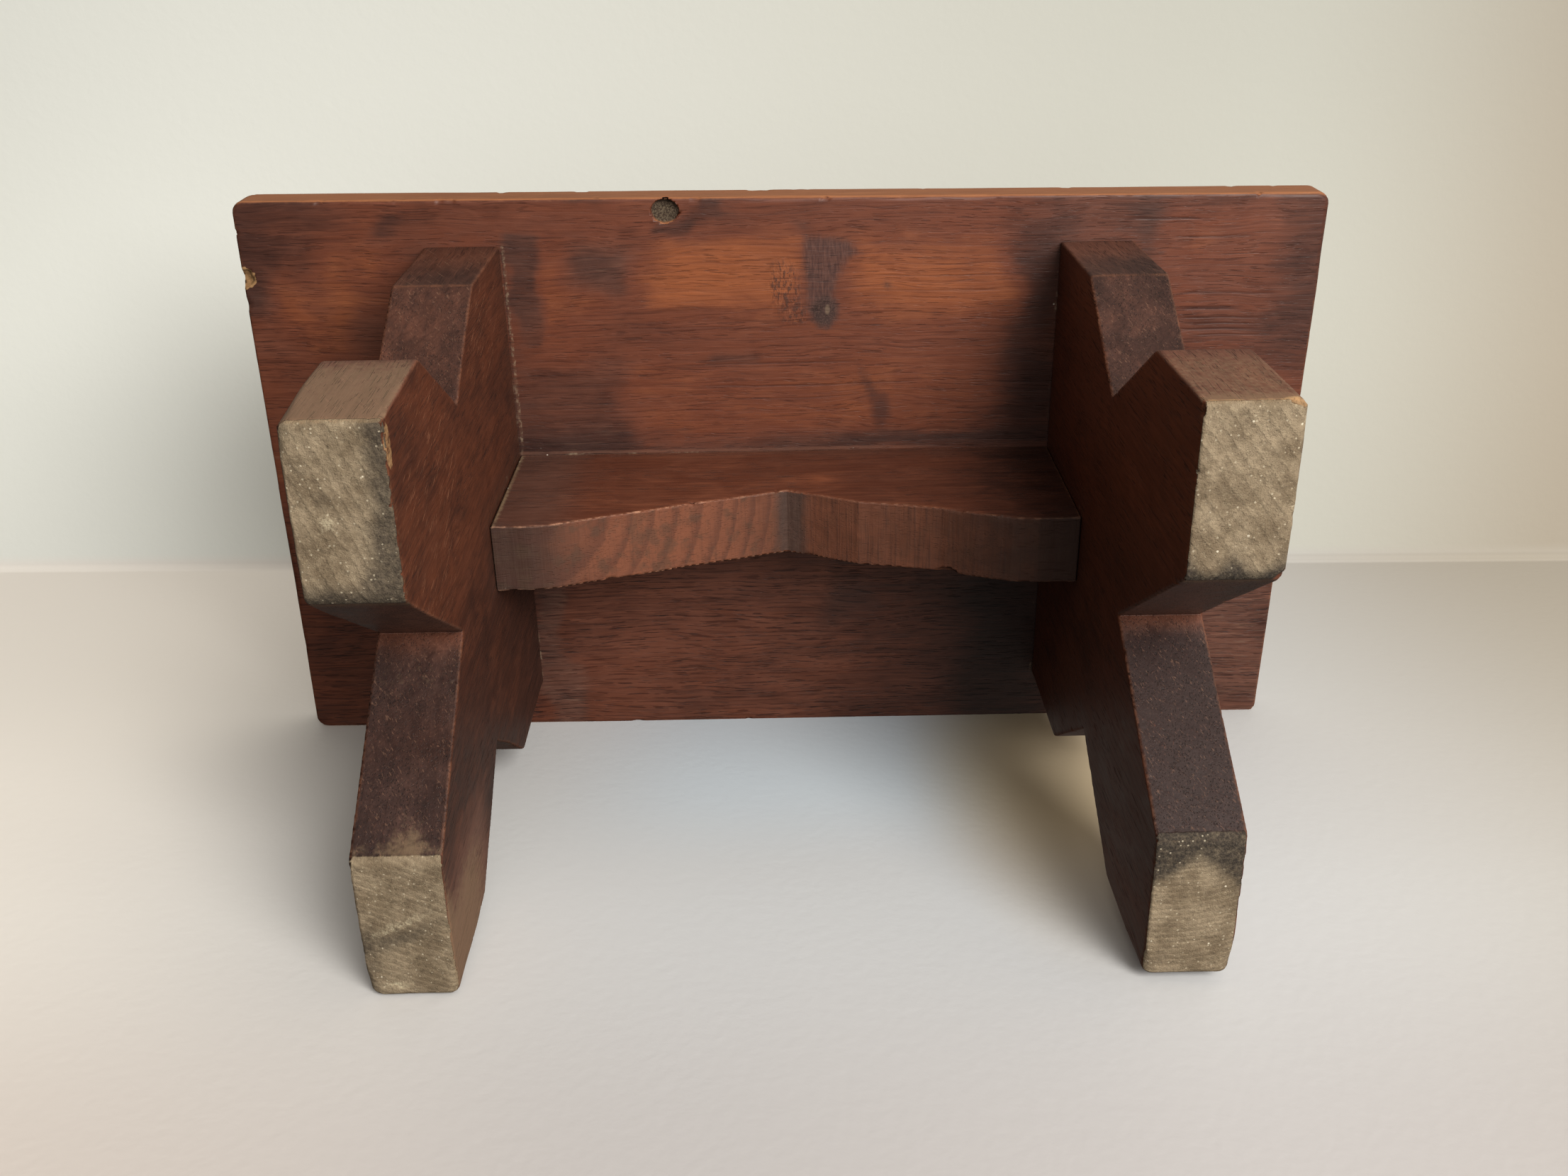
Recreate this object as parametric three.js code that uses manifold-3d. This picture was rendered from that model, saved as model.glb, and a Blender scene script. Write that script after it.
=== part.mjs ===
// Low wooden display stand: a flat top board on two notched end panels, braced by a shaped rail.
// Millimetres, +Z up, standing on its four feet. The origin is on the floor under the middle of
// the top. +X runs along the long side of the top. -Y is the front, the side whose underside
// carries a round hollow.

import * as THREE from "three";
import { mergeVertices } from "three/addons/utils/BufferGeometryUtils.js";
import Module from "manifold-3d";

// ---------------------------------------------------------------- dimensions
// A "corner" is how far a rounded corner reaches back along each of its two edges.
// An "arris" is the size of the easing along the edges of a board's two faces.
const JOINT_GAP = 0.2; // glue line between two butted boards
const HOLE_GAP = 0.3; // radial room round a screw, plug or dowel
const OVERCUT = 1; // how far a cutter runs past the face it opens

const TOP_LENGTH = 382.6;
const TOP_DEPTH = 210.8;
const TOP_THICKNESS = 14;
const TOP_CORNER = 4.5;
const TOP_ARRIS = 1.0;

const STAND_HEIGHT = 182.3; // floor to the underside of the top
const TOP_FACE = STAND_HEIGHT + TOP_THICKNESS;
const WOOD_TOP = STAND_HEIGHT - JOINT_GAP; // upper end of the panels and the rail

const PANEL_THICKNESS = 25;
const PANEL_WIDTH = 173.2;
const PANEL_SPACING = 197; // between the inner faces of the two end panels
const PANEL_CENTRE_X = PANEL_SPACING / 2 + PANEL_THICKNESS / 2;
const PANEL_ARRIS = 0.8;
const FOOT_CORNER = 3.0; // outer corner of each foot
const FOOT_NOTCH_HALF = 39.9;
const FOOT_NOTCH_HEIGHT = 60.0;
const FOOT_NOTCH_CORNER = 1.6;
const SIDE_NOTCH_LOW = 46.2;
const SIDE_NOTCH_HIGH = 132.2;
const SIDE_NOTCH_APEX_Z = 89.6;
const SIDE_NOTCH_DEPTH = 29.0;
const SIDE_NOTCH_CORNER = 1.8;

const RAIL_THICKNESS = 24.1;
const RAIL_CENTRE_Y = 1.1;
const RAIL_ARRIS = 0.5;
const RAIL_END = PANEL_SPACING / 2 - JOINT_GAP;
// lower edge of the rail, from the left panel to the right one: [x, height above the floor]
const RAIL_EDGE = [
  [-RAIL_END, 115.8], [-86, 115.6], [-79, 116.6], [-72, 119.1], [-60, 123.4], [-45, 128.2],
  [-33, 132.8], [-16, 137.8], [0.6, 143.4], [11, 138.8], [25, 131.9], [40, 128.6],
  [53, 125.0], [65, 119.8], [76, 115.7], [85, 114.6], [RAIL_END, 114.8],
];

const PLUG_R = 4.7;
const PLUG_LENGTH = 5.8;
const PLUG_TAPER = 0.4; // radius lost at the lower end
const PLUG_TAPER_LENGTH = 1.2;
const PLUG_CHAMFER = 0.15; // round the upper face

const SCREW_LENGTH = 38;
const SCREW_HEAD_R = 4.0;
const SCREW_HEAD_HEIGHT = 2.6;
const SCREW_HEAD_RIM = 0.35; // straight part of the head above the countersink
const SCREW_SHANK_R = 2.1;
const SCREW_ROOT_R = 1.5;
const SCREW_TIP_R = 0.35;
const SCREW_TIP_HEIGHT = 0.6;
const SCREW_POINT_HEIGHT = 5; // from the tip to the full root radius
const SCREW_HEAD_SINK = PLUG_LENGTH + HOLE_GAP; // top face down to the screw head
const SCREW_HOLE_R = SCREW_SHANK_R + HOLE_GAP;
const THREAD_START = 6; // first ring, above the tip
const THREAD_PITCH = 2.6;
const THREAD_CREST = 0.8; // crest of a ring, above its lower root
const THREAD_RING = 1.2; // upper root of a ring, above its lower root
const THREAD_TOP = 0.45 * SCREW_LENGTH; // no ring starts above this depth under the head
const SHANK_BOTTOM = 0.4 * SCREW_LENGTH; // lower end of the plain shank, under the head
const SLOT_LENGTH = 2 * SCREW_HEAD_R + 1;
const SLOT_WIDTH = 1.0;
const SLOT_DEPTH = 1.1;
const FIRST_SLOT_ANGLE = 0.4; // radians about Z
const SLOT_ANGLE_STEP = 0.9; // added from one screw to the next

const PILOT_SPARE = 1.5; // pilot hole below the screw tip
const PILOT_POINT = 3; // height of its conical end
const PILOT_DEPTH = SCREW_LENGTH - (TOP_THICKNESS - SCREW_HEAD_SINK) + PILOT_SPARE;

const PANEL_SCREW_Y = 55;
const RAIL_SCREW_X = 50;
const SCREW_SPOTS = [
  { board: "panel", place: "left_front", x: -PANEL_CENTRE_X, y: -PANEL_SCREW_Y },
  { board: "panel", place: "left_rear", x: -PANEL_CENTRE_X, y: PANEL_SCREW_Y },
  { board: "panel", place: "right_front", x: PANEL_CENTRE_X, y: -PANEL_SCREW_Y },
  { board: "panel", place: "right_rear", x: PANEL_CENTRE_X, y: PANEL_SCREW_Y },
  { board: "rail", place: "left", x: -RAIL_SCREW_X, y: RAIL_CENTRE_Y },
  { board: "rail", place: "right", x: RAIL_SCREW_X, y: RAIL_CENTRE_Y },
];

const DOWEL_R = 5;
const DOWEL_LENGTH = 40;
const DOWEL_IN_PANEL = 15;
const DOWEL_CHAMFER = 1; // radius lost at each end
const DOWEL_CHAMFER_LENGTH = 1.2;
const DOWEL_END_GAP = 0.8; // hole beyond each end of the dowel
const DOWEL_CENTRE_X = PANEL_SPACING / 2 + DOWEL_IN_PANEL - DOWEL_LENGTH / 2;
const DOWEL_HEIGHTS = { lower: 131, upper: 164 };

const HOLLOW_X = -39.4;
const HOLLOW_Y = -99.9;
const HOLLOW_R = 4.5;
const HOLLOW_DEPTH = 3.0;

// segments round a turned shape
const ROUND_SEGMENTS = 20;
const SCREW_SEGMENTS = 14;
const HOLLOW_SEGMENTS = 28;

// ---------------------------------------------------------------- solids
const wasm = await Module();
wasm.setup();

const at = (x, y, z) => new THREE.Matrix4().makeTranslation(x, y, z);

function solid(geometry, matrix = new THREE.Matrix4()) {
  // without normals and uvs the seams weld shut
  geometry.deleteAttribute("normal");
  geometry.deleteAttribute("uv");
  const welded = mergeVertices(geometry, 1e-4);
  welded.applyMatrix4(matrix);
  return new wasm.Manifold(
    new wasm.Mesh({
      numProp: 3,
      vertProperties: new Float32Array(welded.attributes.position.array),
      triVerts: new Uint32Array(welded.index.array),
    }),
  );
}

function geometryOf(manifold) {
  const mesh = manifold.getMesh();
  const geometry = new THREE.BufferGeometry();
  const positions = new Float32Array(mesh.vertProperties);
  geometry.setAttribute("position", new THREE.BufferAttribute(positions, 3));
  geometry.setIndex(new THREE.BufferAttribute(new Uint32Array(mesh.triVerts), 1));
  geometry.computeVertexNormals();
  return geometry;
}

// A solid turned about Z; profile: [radius, z], upward or downward from axis to axis
function turned(profile, segments = ROUND_SEGMENTS, matrix) {
  const points = profile.map(([radius, z]) => new THREE.Vector2(radius, z));
  const geometry = new THREE.LatheGeometry(points, segments);
  geometry.rotateX(Math.PI / 2); // the axis becomes Z
  return solid(geometry, matrix);
}

// The point a given distance along the line from one corner to another
function pointToward(from, to, distance) {
  const length = Math.hypot(to[0] - from[0], to[1] - from[1]);
  return [0, 1].map((axis) => from[axis] + ((to[axis] - from[axis]) * distance) / length);
}

// A closed outline, drawn in order: [x, y, corner], with a sharp corner where none is given
function outline(corners) {
  const shape = new THREE.Shape();
  const count = corners.length;
  corners.forEach((here, i) => {
    const [x, y, corner = 0] = here;
    const before = corners[(i + count - 1) % count];
    const after = corners[(i + 1) % count];
    const start = corner ? pointToward(here, before, corner) : [x, y];
    if (i === 0) shape.moveTo(...start);
    else shape.lineTo(...start);
    if (corner) shape.quadraticCurveTo(x, y, ...pointToward(here, after, corner));
  });
  shape.closePath();
  return shape;
}

// A board of the given outline, its thickness along +Z from z = 0
function board(shape, thickness, arris, bevelSegments = 2) {
  const geometry = new THREE.ExtrudeGeometry(shape, {
    depth: thickness - 2 * arris,
    bevelEnabled: true,
    bevelThickness: arris,
    bevelSize: arris,
    bevelOffset: -arris,
    bevelSegments,
    curveSegments: 5,
    steps: 1,
  });
  geometry.translate(0, 0, arris);
  return geometry;
}

// Turns a board so that its outline's x, its outline's y and its thickness lie along these axes
function turnBoard(geometry, outlineX, outlineY, thickness) {
  const axes = [outlineX, outlineY, thickness].map((axis) => new THREE.Vector3(...axis));
  return geometry.applyMatrix4(new THREE.Matrix4().makeBasis(...axes));
}

const cut = (body, cutters) => cutters.reduce((left, cutter) => left.subtract(cutter), body);

// ---------------------------------------------------------------- holes
// Counterbore, countersink and clearance hole through the top board
function screwPocket({ x, y }) {
  const seat = -SCREW_HEAD_SINK - HOLE_GAP;
  const profile = [
    [0, -TOP_THICKNESS - OVERCUT],
    [SCREW_HOLE_R, -TOP_THICKNESS - OVERCUT],
    [SCREW_HOLE_R, seat - SCREW_HEAD_HEIGHT],
    [SCREW_HEAD_R + HOLE_GAP, seat],
    [PLUG_R + HOLE_GAP, seat],
    [PLUG_R + HOLE_GAP, OVERCUT],
    [0, OVERCUT],
  ];
  return turned(profile, ROUND_SEGMENTS, at(x, y, TOP_FACE));
}

// Hole a screw has cut in the wood under the top
function pilotHole(x, y) {
  const profile = [
    [0, -PILOT_DEPTH],
    [SCREW_HOLE_R, -PILOT_DEPTH + PILOT_POINT],
    [SCREW_HOLE_R, OVERCUT],
    [0, OVERCUT],
  ];
  return turned(profile, SCREW_SEGMENTS, at(x, y, WOOD_TOP));
}

function hollow() {
  const profile = [
    [0, -OVERCUT],
    [HOLLOW_R, -OVERCUT],
    [HOLLOW_R - 0.25, HOLLOW_DEPTH - 0.9],
    [HOLLOW_R - 1.2, HOLLOW_DEPTH - 0.2],
    [0, HOLLOW_DEPTH],
  ];
  return turned(profile, HOLLOW_SEGMENTS, at(HOLLOW_X, HOLLOW_Y, STAND_HEIGHT));
}

// Place of a dowel lying along X across a rail joint; side is -1 for left, 1 for right
function dowelPlace(side, z) {
  const alongX = new THREE.Matrix4().makeRotationY(Math.PI / 2);
  return at(side * DOWEL_CENTRE_X, RAIL_CENTRE_Y, z).multiply(alongX);
}

function dowelHoles(side) {
  const half = DOWEL_LENGTH / 2 + DOWEL_END_GAP;
  const radius = DOWEL_R + HOLE_GAP;
  const profile = [[0, -half], [radius, -half], [radius, half], [0, half]];
  return Object.values(DOWEL_HEIGHTS).map((z) =>
    turned(profile, ROUND_SEGMENTS, dowelPlace(side, z)),
  );
}

// ---------------------------------------------------------------- boards
function topBoard() {
  const x = TOP_LENGTH / 2;
  const y = TOP_DEPTH / 2;
  const shape = outline([
    [-x, -y, TOP_CORNER],
    [x, -y, TOP_CORNER],
    [x, y, TOP_CORNER],
    [-x, y, TOP_CORNER],
  ]);
  const blank = solid(board(shape, TOP_THICKNESS, TOP_ARRIS), at(0, 0, STAND_HEIGHT));
  return cut(blank, [...SCREW_SPOTS.map(screwPocket), hollow()]);
}

// Drawn in (y, z) and extruded along +X
function endPanel(side) {
  const y = PANEL_WIDTH / 2;
  const apexY = y - SIDE_NOTCH_DEPTH;
  const shape = outline([
    [-y, 0, FOOT_CORNER],
    [-FOOT_NOTCH_HALF, 0, FOOT_NOTCH_CORNER],
    [0, FOOT_NOTCH_HEIGHT],
    [FOOT_NOTCH_HALF, 0, FOOT_NOTCH_CORNER],
    [y, 0, FOOT_CORNER],
    [y, SIDE_NOTCH_LOW, SIDE_NOTCH_CORNER],
    [apexY, SIDE_NOTCH_APEX_Z],
    [y, SIDE_NOTCH_HIGH, SIDE_NOTCH_CORNER],
    [y, WOOD_TOP],
    [-y, WOOD_TOP],
    [-y, SIDE_NOTCH_HIGH, SIDE_NOTCH_CORNER],
    [-apexY, SIDE_NOTCH_APEX_Z],
    [-y, SIDE_NOTCH_LOW, SIDE_NOTCH_CORNER],
  ]);
  const flat = board(shape, PANEL_THICKNESS, PANEL_ARRIS);
  const upright = turnBoard(flat, [0, 1, 0], [0, 0, 1], [1, 0, 0]);
  const x = side * PANEL_CENTRE_X;
  return cut(solid(upright, at(x - PANEL_THICKNESS / 2, 0, 0)), [
    pilotHole(x, -PANEL_SCREW_Y),
    pilotHole(x, PANEL_SCREW_Y),
    ...dowelHoles(side),
  ]);
}

// Drawn in (x, z) and extruded along -Y
function rail() {
  const shape = outline([[-RAIL_END, WOOD_TOP], ...RAIL_EDGE, [RAIL_END, WOOD_TOP]]);
  const flat = board(shape, RAIL_THICKNESS, RAIL_ARRIS, 1);
  const upright = turnBoard(flat, [1, 0, 0], [0, 0, 1], [0, -1, 0]);
  return cut(solid(upright, at(0, RAIL_CENTRE_Y + RAIL_THICKNESS / 2, 0)), [
    pilotHole(-RAIL_SCREW_X, RAIL_CENTRE_Y),
    pilotHole(RAIL_SCREW_X, RAIL_CENTRE_Y),
    ...dowelHoles(-1),
    ...dowelHoles(1),
  ]);
}

// ---------------------------------------------------------------- fixings
// A countersunk slotted wood screw, head up, its head face at z = 0
function screw() {
  const tip = -SCREW_LENGTH;
  const profile = [
    [0, tip],
    [SCREW_TIP_R, tip + SCREW_TIP_HEIGHT],
    [SCREW_ROOT_R, tip + SCREW_POINT_HEIGHT],
  ];
  // the thread is drawn as rings, root to crest to root
  for (let z = tip + THREAD_START; z < -THREAD_TOP; z += THREAD_PITCH) {
    profile.push(
      [SCREW_ROOT_R, z],
      [SCREW_SHANK_R, z + THREAD_CREST],
      [SCREW_ROOT_R, z + THREAD_RING],
    );
  }
  profile.push(
    [SCREW_SHANK_R, -SHANK_BOTTOM],
    [SCREW_SHANK_R, -SCREW_HEAD_HEIGHT],
    [SCREW_HEAD_R, -SCREW_HEAD_RIM],
    [SCREW_HEAD_R, 0],
    [0, 0],
  );
  const slot = new THREE.BoxGeometry(SLOT_LENGTH, SLOT_WIDTH, 2 * SLOT_DEPTH);
  return turned(profile, SCREW_SEGMENTS).subtract(solid(slot));
}

// A plug with a slightly tapered lower end, its upper face at z = 0
function plug() {
  return turned([
    [0, -PLUG_LENGTH],
    [PLUG_R - PLUG_TAPER, -PLUG_LENGTH],
    [PLUG_R, -PLUG_LENGTH + PLUG_TAPER_LENGTH],
    [PLUG_R, -PLUG_CHAMFER],
    [PLUG_R - PLUG_CHAMFER, 0],
    [0, 0],
  ]);
}

// A dowel along Z, centred on the origin
function dowel() {
  const half = DOWEL_LENGTH / 2;
  return turned([
    [0, -half],
    [DOWEL_R - DOWEL_CHAMFER, -half],
    [DOWEL_R, -half + DOWEL_CHAMFER_LENGTH],
    [DOWEL_R, half - DOWEL_CHAMFER_LENGTH],
    [DOWEL_R - DOWEL_CHAMFER, half],
    [0, half],
  ]);
}

// ---------------------------------------------------------------- materials
const material = (options) => new THREE.MeshStandardMaterial(options);
const topWood = material({ color: 0x6b2f1e, roughness: 0.5, metalness: 0 });
const frameWood = material({ color: 0x55281c, roughness: 0.55, metalness: 0 });
const plugWood = material({ color: 0x5e2a1b, roughness: 0.5, metalness: 0 });
const dowelWood = material({ color: 0xc9a877, roughness: 0.75, metalness: 0 });
const steel = material({ color: 0x8d8a84, roughness: 0.45, metalness: 0.9 });

// ---------------------------------------------------------------- assembly
const group = new THREE.Group();

function add(name, geometry, surface, matrix = new THREE.Matrix4()) {
  const mesh = new THREE.Mesh(geometry, surface);
  mesh.name = name;
  mesh.applyMatrix4(matrix);
  group.add(mesh);
}

add("top_board", geometryOf(topBoard()), topWood);
add("end_panel_left", geometryOf(endPanel(-1)), frameWood);
add("end_panel_right", geometryOf(endPanel(1)), frameWood);
add("stretcher_rail", geometryOf(rail()), frameWood);

const screwGeometry = geometryOf(screw());
const plugGeometry = geometryOf(plug());
SCREW_SPOTS.forEach(({ board: under, place, x, y }, i) => {
  const turn = new THREE.Matrix4().makeRotationZ(FIRST_SLOT_ANGLE + i * SLOT_ANGLE_STEP);
  const screwPlace = at(x, y, TOP_FACE - SCREW_HEAD_SINK).multiply(turn);
  add(`${under}_screw_${place}`, screwGeometry, steel, screwPlace);
  add(`${under}_plug_${place}`, plugGeometry, plugWood, at(x, y, TOP_FACE));
});

const dowelGeometry = geometryOf(dowel());
for (const [side, word] of [[-1, "left"], [1, "right"]]) {
  for (const [level, z] of Object.entries(DOWEL_HEIGHTS)) {
    add(`rail_dowel_${word}_${level}`, dowelGeometry, dowelWood, dowelPlace(side, z));
  }
}

export default group;
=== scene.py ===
# A small bench of four worn, stained boards: a top, two end panels and a stretcher rail
# between the panels, held by plugged screws and by dowels. It stands upright in its frame:
# x runs along the length, -y is the front and z goes up from the soles. The stage is turned
# so that the bench lies on its +y edge with its underside towards the camera.
# Board shapes, tables and noise sizes are in millimetres; the scene is in metres.
import math

import bpy
import numpy as np
from mathutils import Matrix, Vector


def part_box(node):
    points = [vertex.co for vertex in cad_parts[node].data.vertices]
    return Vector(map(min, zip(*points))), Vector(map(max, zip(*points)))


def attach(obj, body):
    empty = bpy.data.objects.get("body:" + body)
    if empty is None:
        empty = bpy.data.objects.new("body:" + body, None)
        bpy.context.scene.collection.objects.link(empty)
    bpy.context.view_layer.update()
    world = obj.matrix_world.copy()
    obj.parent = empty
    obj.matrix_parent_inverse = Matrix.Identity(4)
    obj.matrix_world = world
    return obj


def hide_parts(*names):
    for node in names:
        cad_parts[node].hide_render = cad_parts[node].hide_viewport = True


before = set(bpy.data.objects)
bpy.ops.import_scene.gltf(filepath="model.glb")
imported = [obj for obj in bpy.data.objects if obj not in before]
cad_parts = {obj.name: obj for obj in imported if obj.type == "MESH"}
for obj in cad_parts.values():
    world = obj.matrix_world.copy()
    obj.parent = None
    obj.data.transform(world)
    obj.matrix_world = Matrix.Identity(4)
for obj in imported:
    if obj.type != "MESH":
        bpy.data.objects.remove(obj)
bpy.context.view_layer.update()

MM = 0.001


# ---------------------------------------------------------------- places from the frame
def box_mm(node):
    low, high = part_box(node)
    return np.array(low) / MM, np.array(high) / MM


TOP_LO, TOP_HI = box_mm("top_board")
LEFT_LO, LEFT_HI = box_mm("end_panel_left")
RIGHT_LO, RIGHT_HI = box_mm("end_panel_right")
RAIL_LO, RAIL_HI = box_mm("stretcher_rail")

TOP_MID = (TOP_LO + TOP_HI) / 2
TOP_HALF = (TOP_HI - TOP_LO) / 2
TOP_CORNER = 4.6  # radius of the top's corners in plan
UNDERSIDE = TOP_LO[2]  # height of the underside of the top
PANEL_INNER = -LEFT_HI[0]  # faces of each panel, from the middle of the bench
PANEL_OUTER = -LEFT_LO[0]
PANEL_MID = (PANEL_INNER + PANEL_OUTER) / 2
PANEL_HALF_THICK = (PANEL_OUTER - PANEL_INNER) / 2
PANEL_HALF = LEFT_HI[1]  # half the width of a panel
RAIL_MID = (RAIL_LO[1] + RAIL_HI[1]) / 2
RAIL_HALF_THICK = (RAIL_HI[1] - RAIL_LO[1]) / 2
JOINT_GAP = 0.02  # the panels and the rail stop this far below the underside

# The V cut between the feet, and the V notch in each upright edge of a panel
FOOT_HALF, FOOT_CUT = 39.9, 60.0
NOTCH_LOW, NOTCH_APEX, NOTCH_HIGH, NOTCH_DEPTH = 46.2, 89.6, 132.2, 29.0

# The round hollow in the underside, near the front edge
HOLLOW = np.array([-40.8, -100.7])
HOLLOW_R, HOLLOW_DEPTH = 4.3, 3.0
HOLLOW_HALF = (4.75, 4.0)  # its half-widths in x and y

# The splintered chip in the top's left edge
EDGE_CHIP = np.array([-192.0, -78.6, UNDERSIDE - 0.9])

# Lower edge of the rail: x, z
RAIL_EDGE = [
    (-98.3, 115.8), (-86, 115.6), (-79, 116.6), (-72, 119.1), (-60, 123.4), (-45, 128.2),
    (-33, 132.8), (-16, 137.8), (0.6, 143.4), (11, 138.8), (25, 131.9), (40, 128.6),
    (53, 125.0), (65, 119.8), (76, 115.7), (85, 114.6), (98.3, 114.8),
]


# ---------------------------------------------------------------- seeded noise
def lattice(ix, iy, iz, seed):
    """A fixed random value from -1 to 1 for each whole-number point."""
    mixed = (ix * 374761393 + iy * 668265263 + iz * 1274126177 + seed * 974634777) & 0xFFFFFFFF
    mixed = ((mixed ^ (mixed >> 13)) * 1103515245) & 0xFFFFFFFF
    mixed = ((mixed ^ (mixed >> 16)) * 2246822519) & 0xFFFFFFFF
    mixed = mixed ^ (mixed >> 15)
    return (mixed & 0xFFFFFF) / float(0xFFFFFF) * 2 - 1


def value_noise(points, seed):
    cell = np.floor(points).astype(np.int64)
    part = points - cell
    part = part * part * part * (part * (part * 6 - 15) + 10)
    total = 0
    for dx in (0, 1):
        weight_x = part[:, 0] if dx else 1 - part[:, 0]
        for dy in (0, 1):
            weight_y = part[:, 1] if dy else 1 - part[:, 1]
            for dz in (0, 1):
                weight_z = part[:, 2] if dz else 1 - part[:, 2]
                value = lattice(cell[:, 0] + dx, cell[:, 1] + dy, cell[:, 2] + dz, seed)
                total = total + weight_x * weight_y * weight_z * value
    return total


def noise(points, size, octaves, seed):
    """Noise of about +-1, with its broadest feature `size` mm across."""
    out, strength, total = 0, 1.0, 0.0
    scaled = points / size
    for k in range(octaves):
        out = out + strength * value_noise(scaled + 17.3 * k, seed + k)
        total += strength
        strength *= 0.5
        scaled = scaled * 2.03
    return out / total


def ramp(value, start, end):
    """A smooth step, 0 at start and 1 at end; start may be the larger."""
    step = np.clip((value - start) / (end - start), 0, 1)
    return step * step * (3 - 2 * step)


# ---------------------------------------------------------------- distance functions
def polygon_distance(x, y, polygon):
    """Signed distance to a closed polygon, negative inside."""
    polygon = np.asarray(polygon, float)
    squared = np.full(x.shape, 1e18)
    sign = np.ones(x.shape)
    for i in range(len(polygon)):
        start, end = polygon[i], polygon[i - 1]
        edge_x, edge_y = end[0] - start[0], end[1] - start[1]
        from_x, from_y = x - start[0], y - start[1]
        length2 = edge_x * edge_x + edge_y * edge_y
        along = np.clip((from_x * edge_x + from_y * edge_y) / length2, 0, 1)
        off_x, off_y = from_x - edge_x * along, from_y - edge_y * along
        squared = np.minimum(squared, off_x * off_x + off_y * off_y)
        above, below = y >= start[1], y < end[1]
        left = edge_x * from_y > edge_y * from_x
        crosses = (above & below & left) | (~above & ~below & ~left)
        sign = np.where(crosses, -sign, sign)
    return sign * np.sqrt(squared)


def rounded(corners, steps=5):
    """Turns corners (across, up, radius) into a polygon with curved corners."""
    out = []
    for i, (across, up, radius) in enumerate(corners):
        corner = np.array((across, up), float)
        if radius <= 0:
            out.append(corner)
            continue
        before = np.array(corners[i - 1][:2], float)
        after = np.array(corners[(i + 1) % len(corners)][:2], float)
        first = corner + (before - corner) / np.linalg.norm(before - corner) * radius
        last = corner + (after - corner) / np.linalg.norm(after - corner) * radius
        for k in range(steps + 1):
            t = k / steps
            out.append((1 - t) ** 2 * first + 2 * t * (1 - t) * corner + t * t * last)
    return np.array(out)


def overlap(first, second):
    """Distance to the region inside both shapes, round outside the corner they make."""
    outside = np.hypot(np.maximum(first, 0), np.maximum(second, 0))
    return np.minimum(np.maximum(first, second), 0) + outside


def plate(outline, slab, radius):
    """A plate from its outline and slab distances, with its arrises rounded."""
    return overlap(outline + radius, slab + radius) - radius


def arris_distance(outline, slab):
    return np.hypot(np.minimum(outline, 0), np.minimum(slab, 0))


def ellipsoid(points, centre, half_sizes):
    """Distance from the centre in half-sizes: 1 is on the ellipsoid."""
    return np.linalg.norm((points - np.array(centre)) / np.array(half_sizes), axis=1)


def chip(points, centre, half_sizes, seed, rough):
    """The distance that bites an ellipsoid out of a board, with a rough face."""
    inside = (1 - ellipsoid(points, centre, half_sizes)) * min(half_sizes)
    return inside + rough * noise(points, 2.2, 2, seed)


def dents(points, edge, size, threshold, depth, reach, full, seed):
    """Dents along the arrises, from nothing at `reach` from an arris to all at `full`."""
    return np.maximum(noise(points, size, 2, seed) - threshold, 0) * depth * ramp(edge, reach, full)


def with_detail(points, outline, slab, radius, reach, detail):
    """A plain plate, replaced within `reach` of its surface by the detailed distance."""
    distance = plate(outline, slab, radius)
    near = np.abs(distance) < reach
    distance[near] = detail(points[near], outline[near], slab[near])
    return distance


class OutlineGrid:
    """An outline's distance looked up from a fine grid, far quicker than the exact one."""

    step = 0.2

    def __init__(self, polygon, low, high, axes):
        self.low = np.array(low, float)
        self.count = np.ceil((np.array(high) - self.low) / self.step).astype(int) + 2
        self.axes = axes
        across, up = (self.low[k] + self.step * np.arange(self.count[k]) for k in (0, 1))
        across, up = np.meshgrid(across, up, indexing="ij")
        exact = polygon_distance(across.ravel(), up.ravel(), polygon)
        self.grid = exact.reshape(self.count).astype(np.float32)

    def __call__(self, points):
        across, up = ((points[:, self.axes[k]] - self.low[k]) / self.step for k in (0, 1))
        i = np.clip(np.floor(across).astype(int), 0, self.count[0] - 2)
        j = np.clip(np.floor(up).astype(int), 0, self.count[1] - 2)
        part_i, part_j = across - i, up - j
        grid = self.grid
        return (
            grid[i, j] * (1 - part_i) * (1 - part_j) + grid[i + 1, j] * part_i * (1 - part_j)
            + grid[i, j + 1] * (1 - part_i) * part_j + grid[i + 1, j + 1] * part_i * part_j
        )


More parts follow.
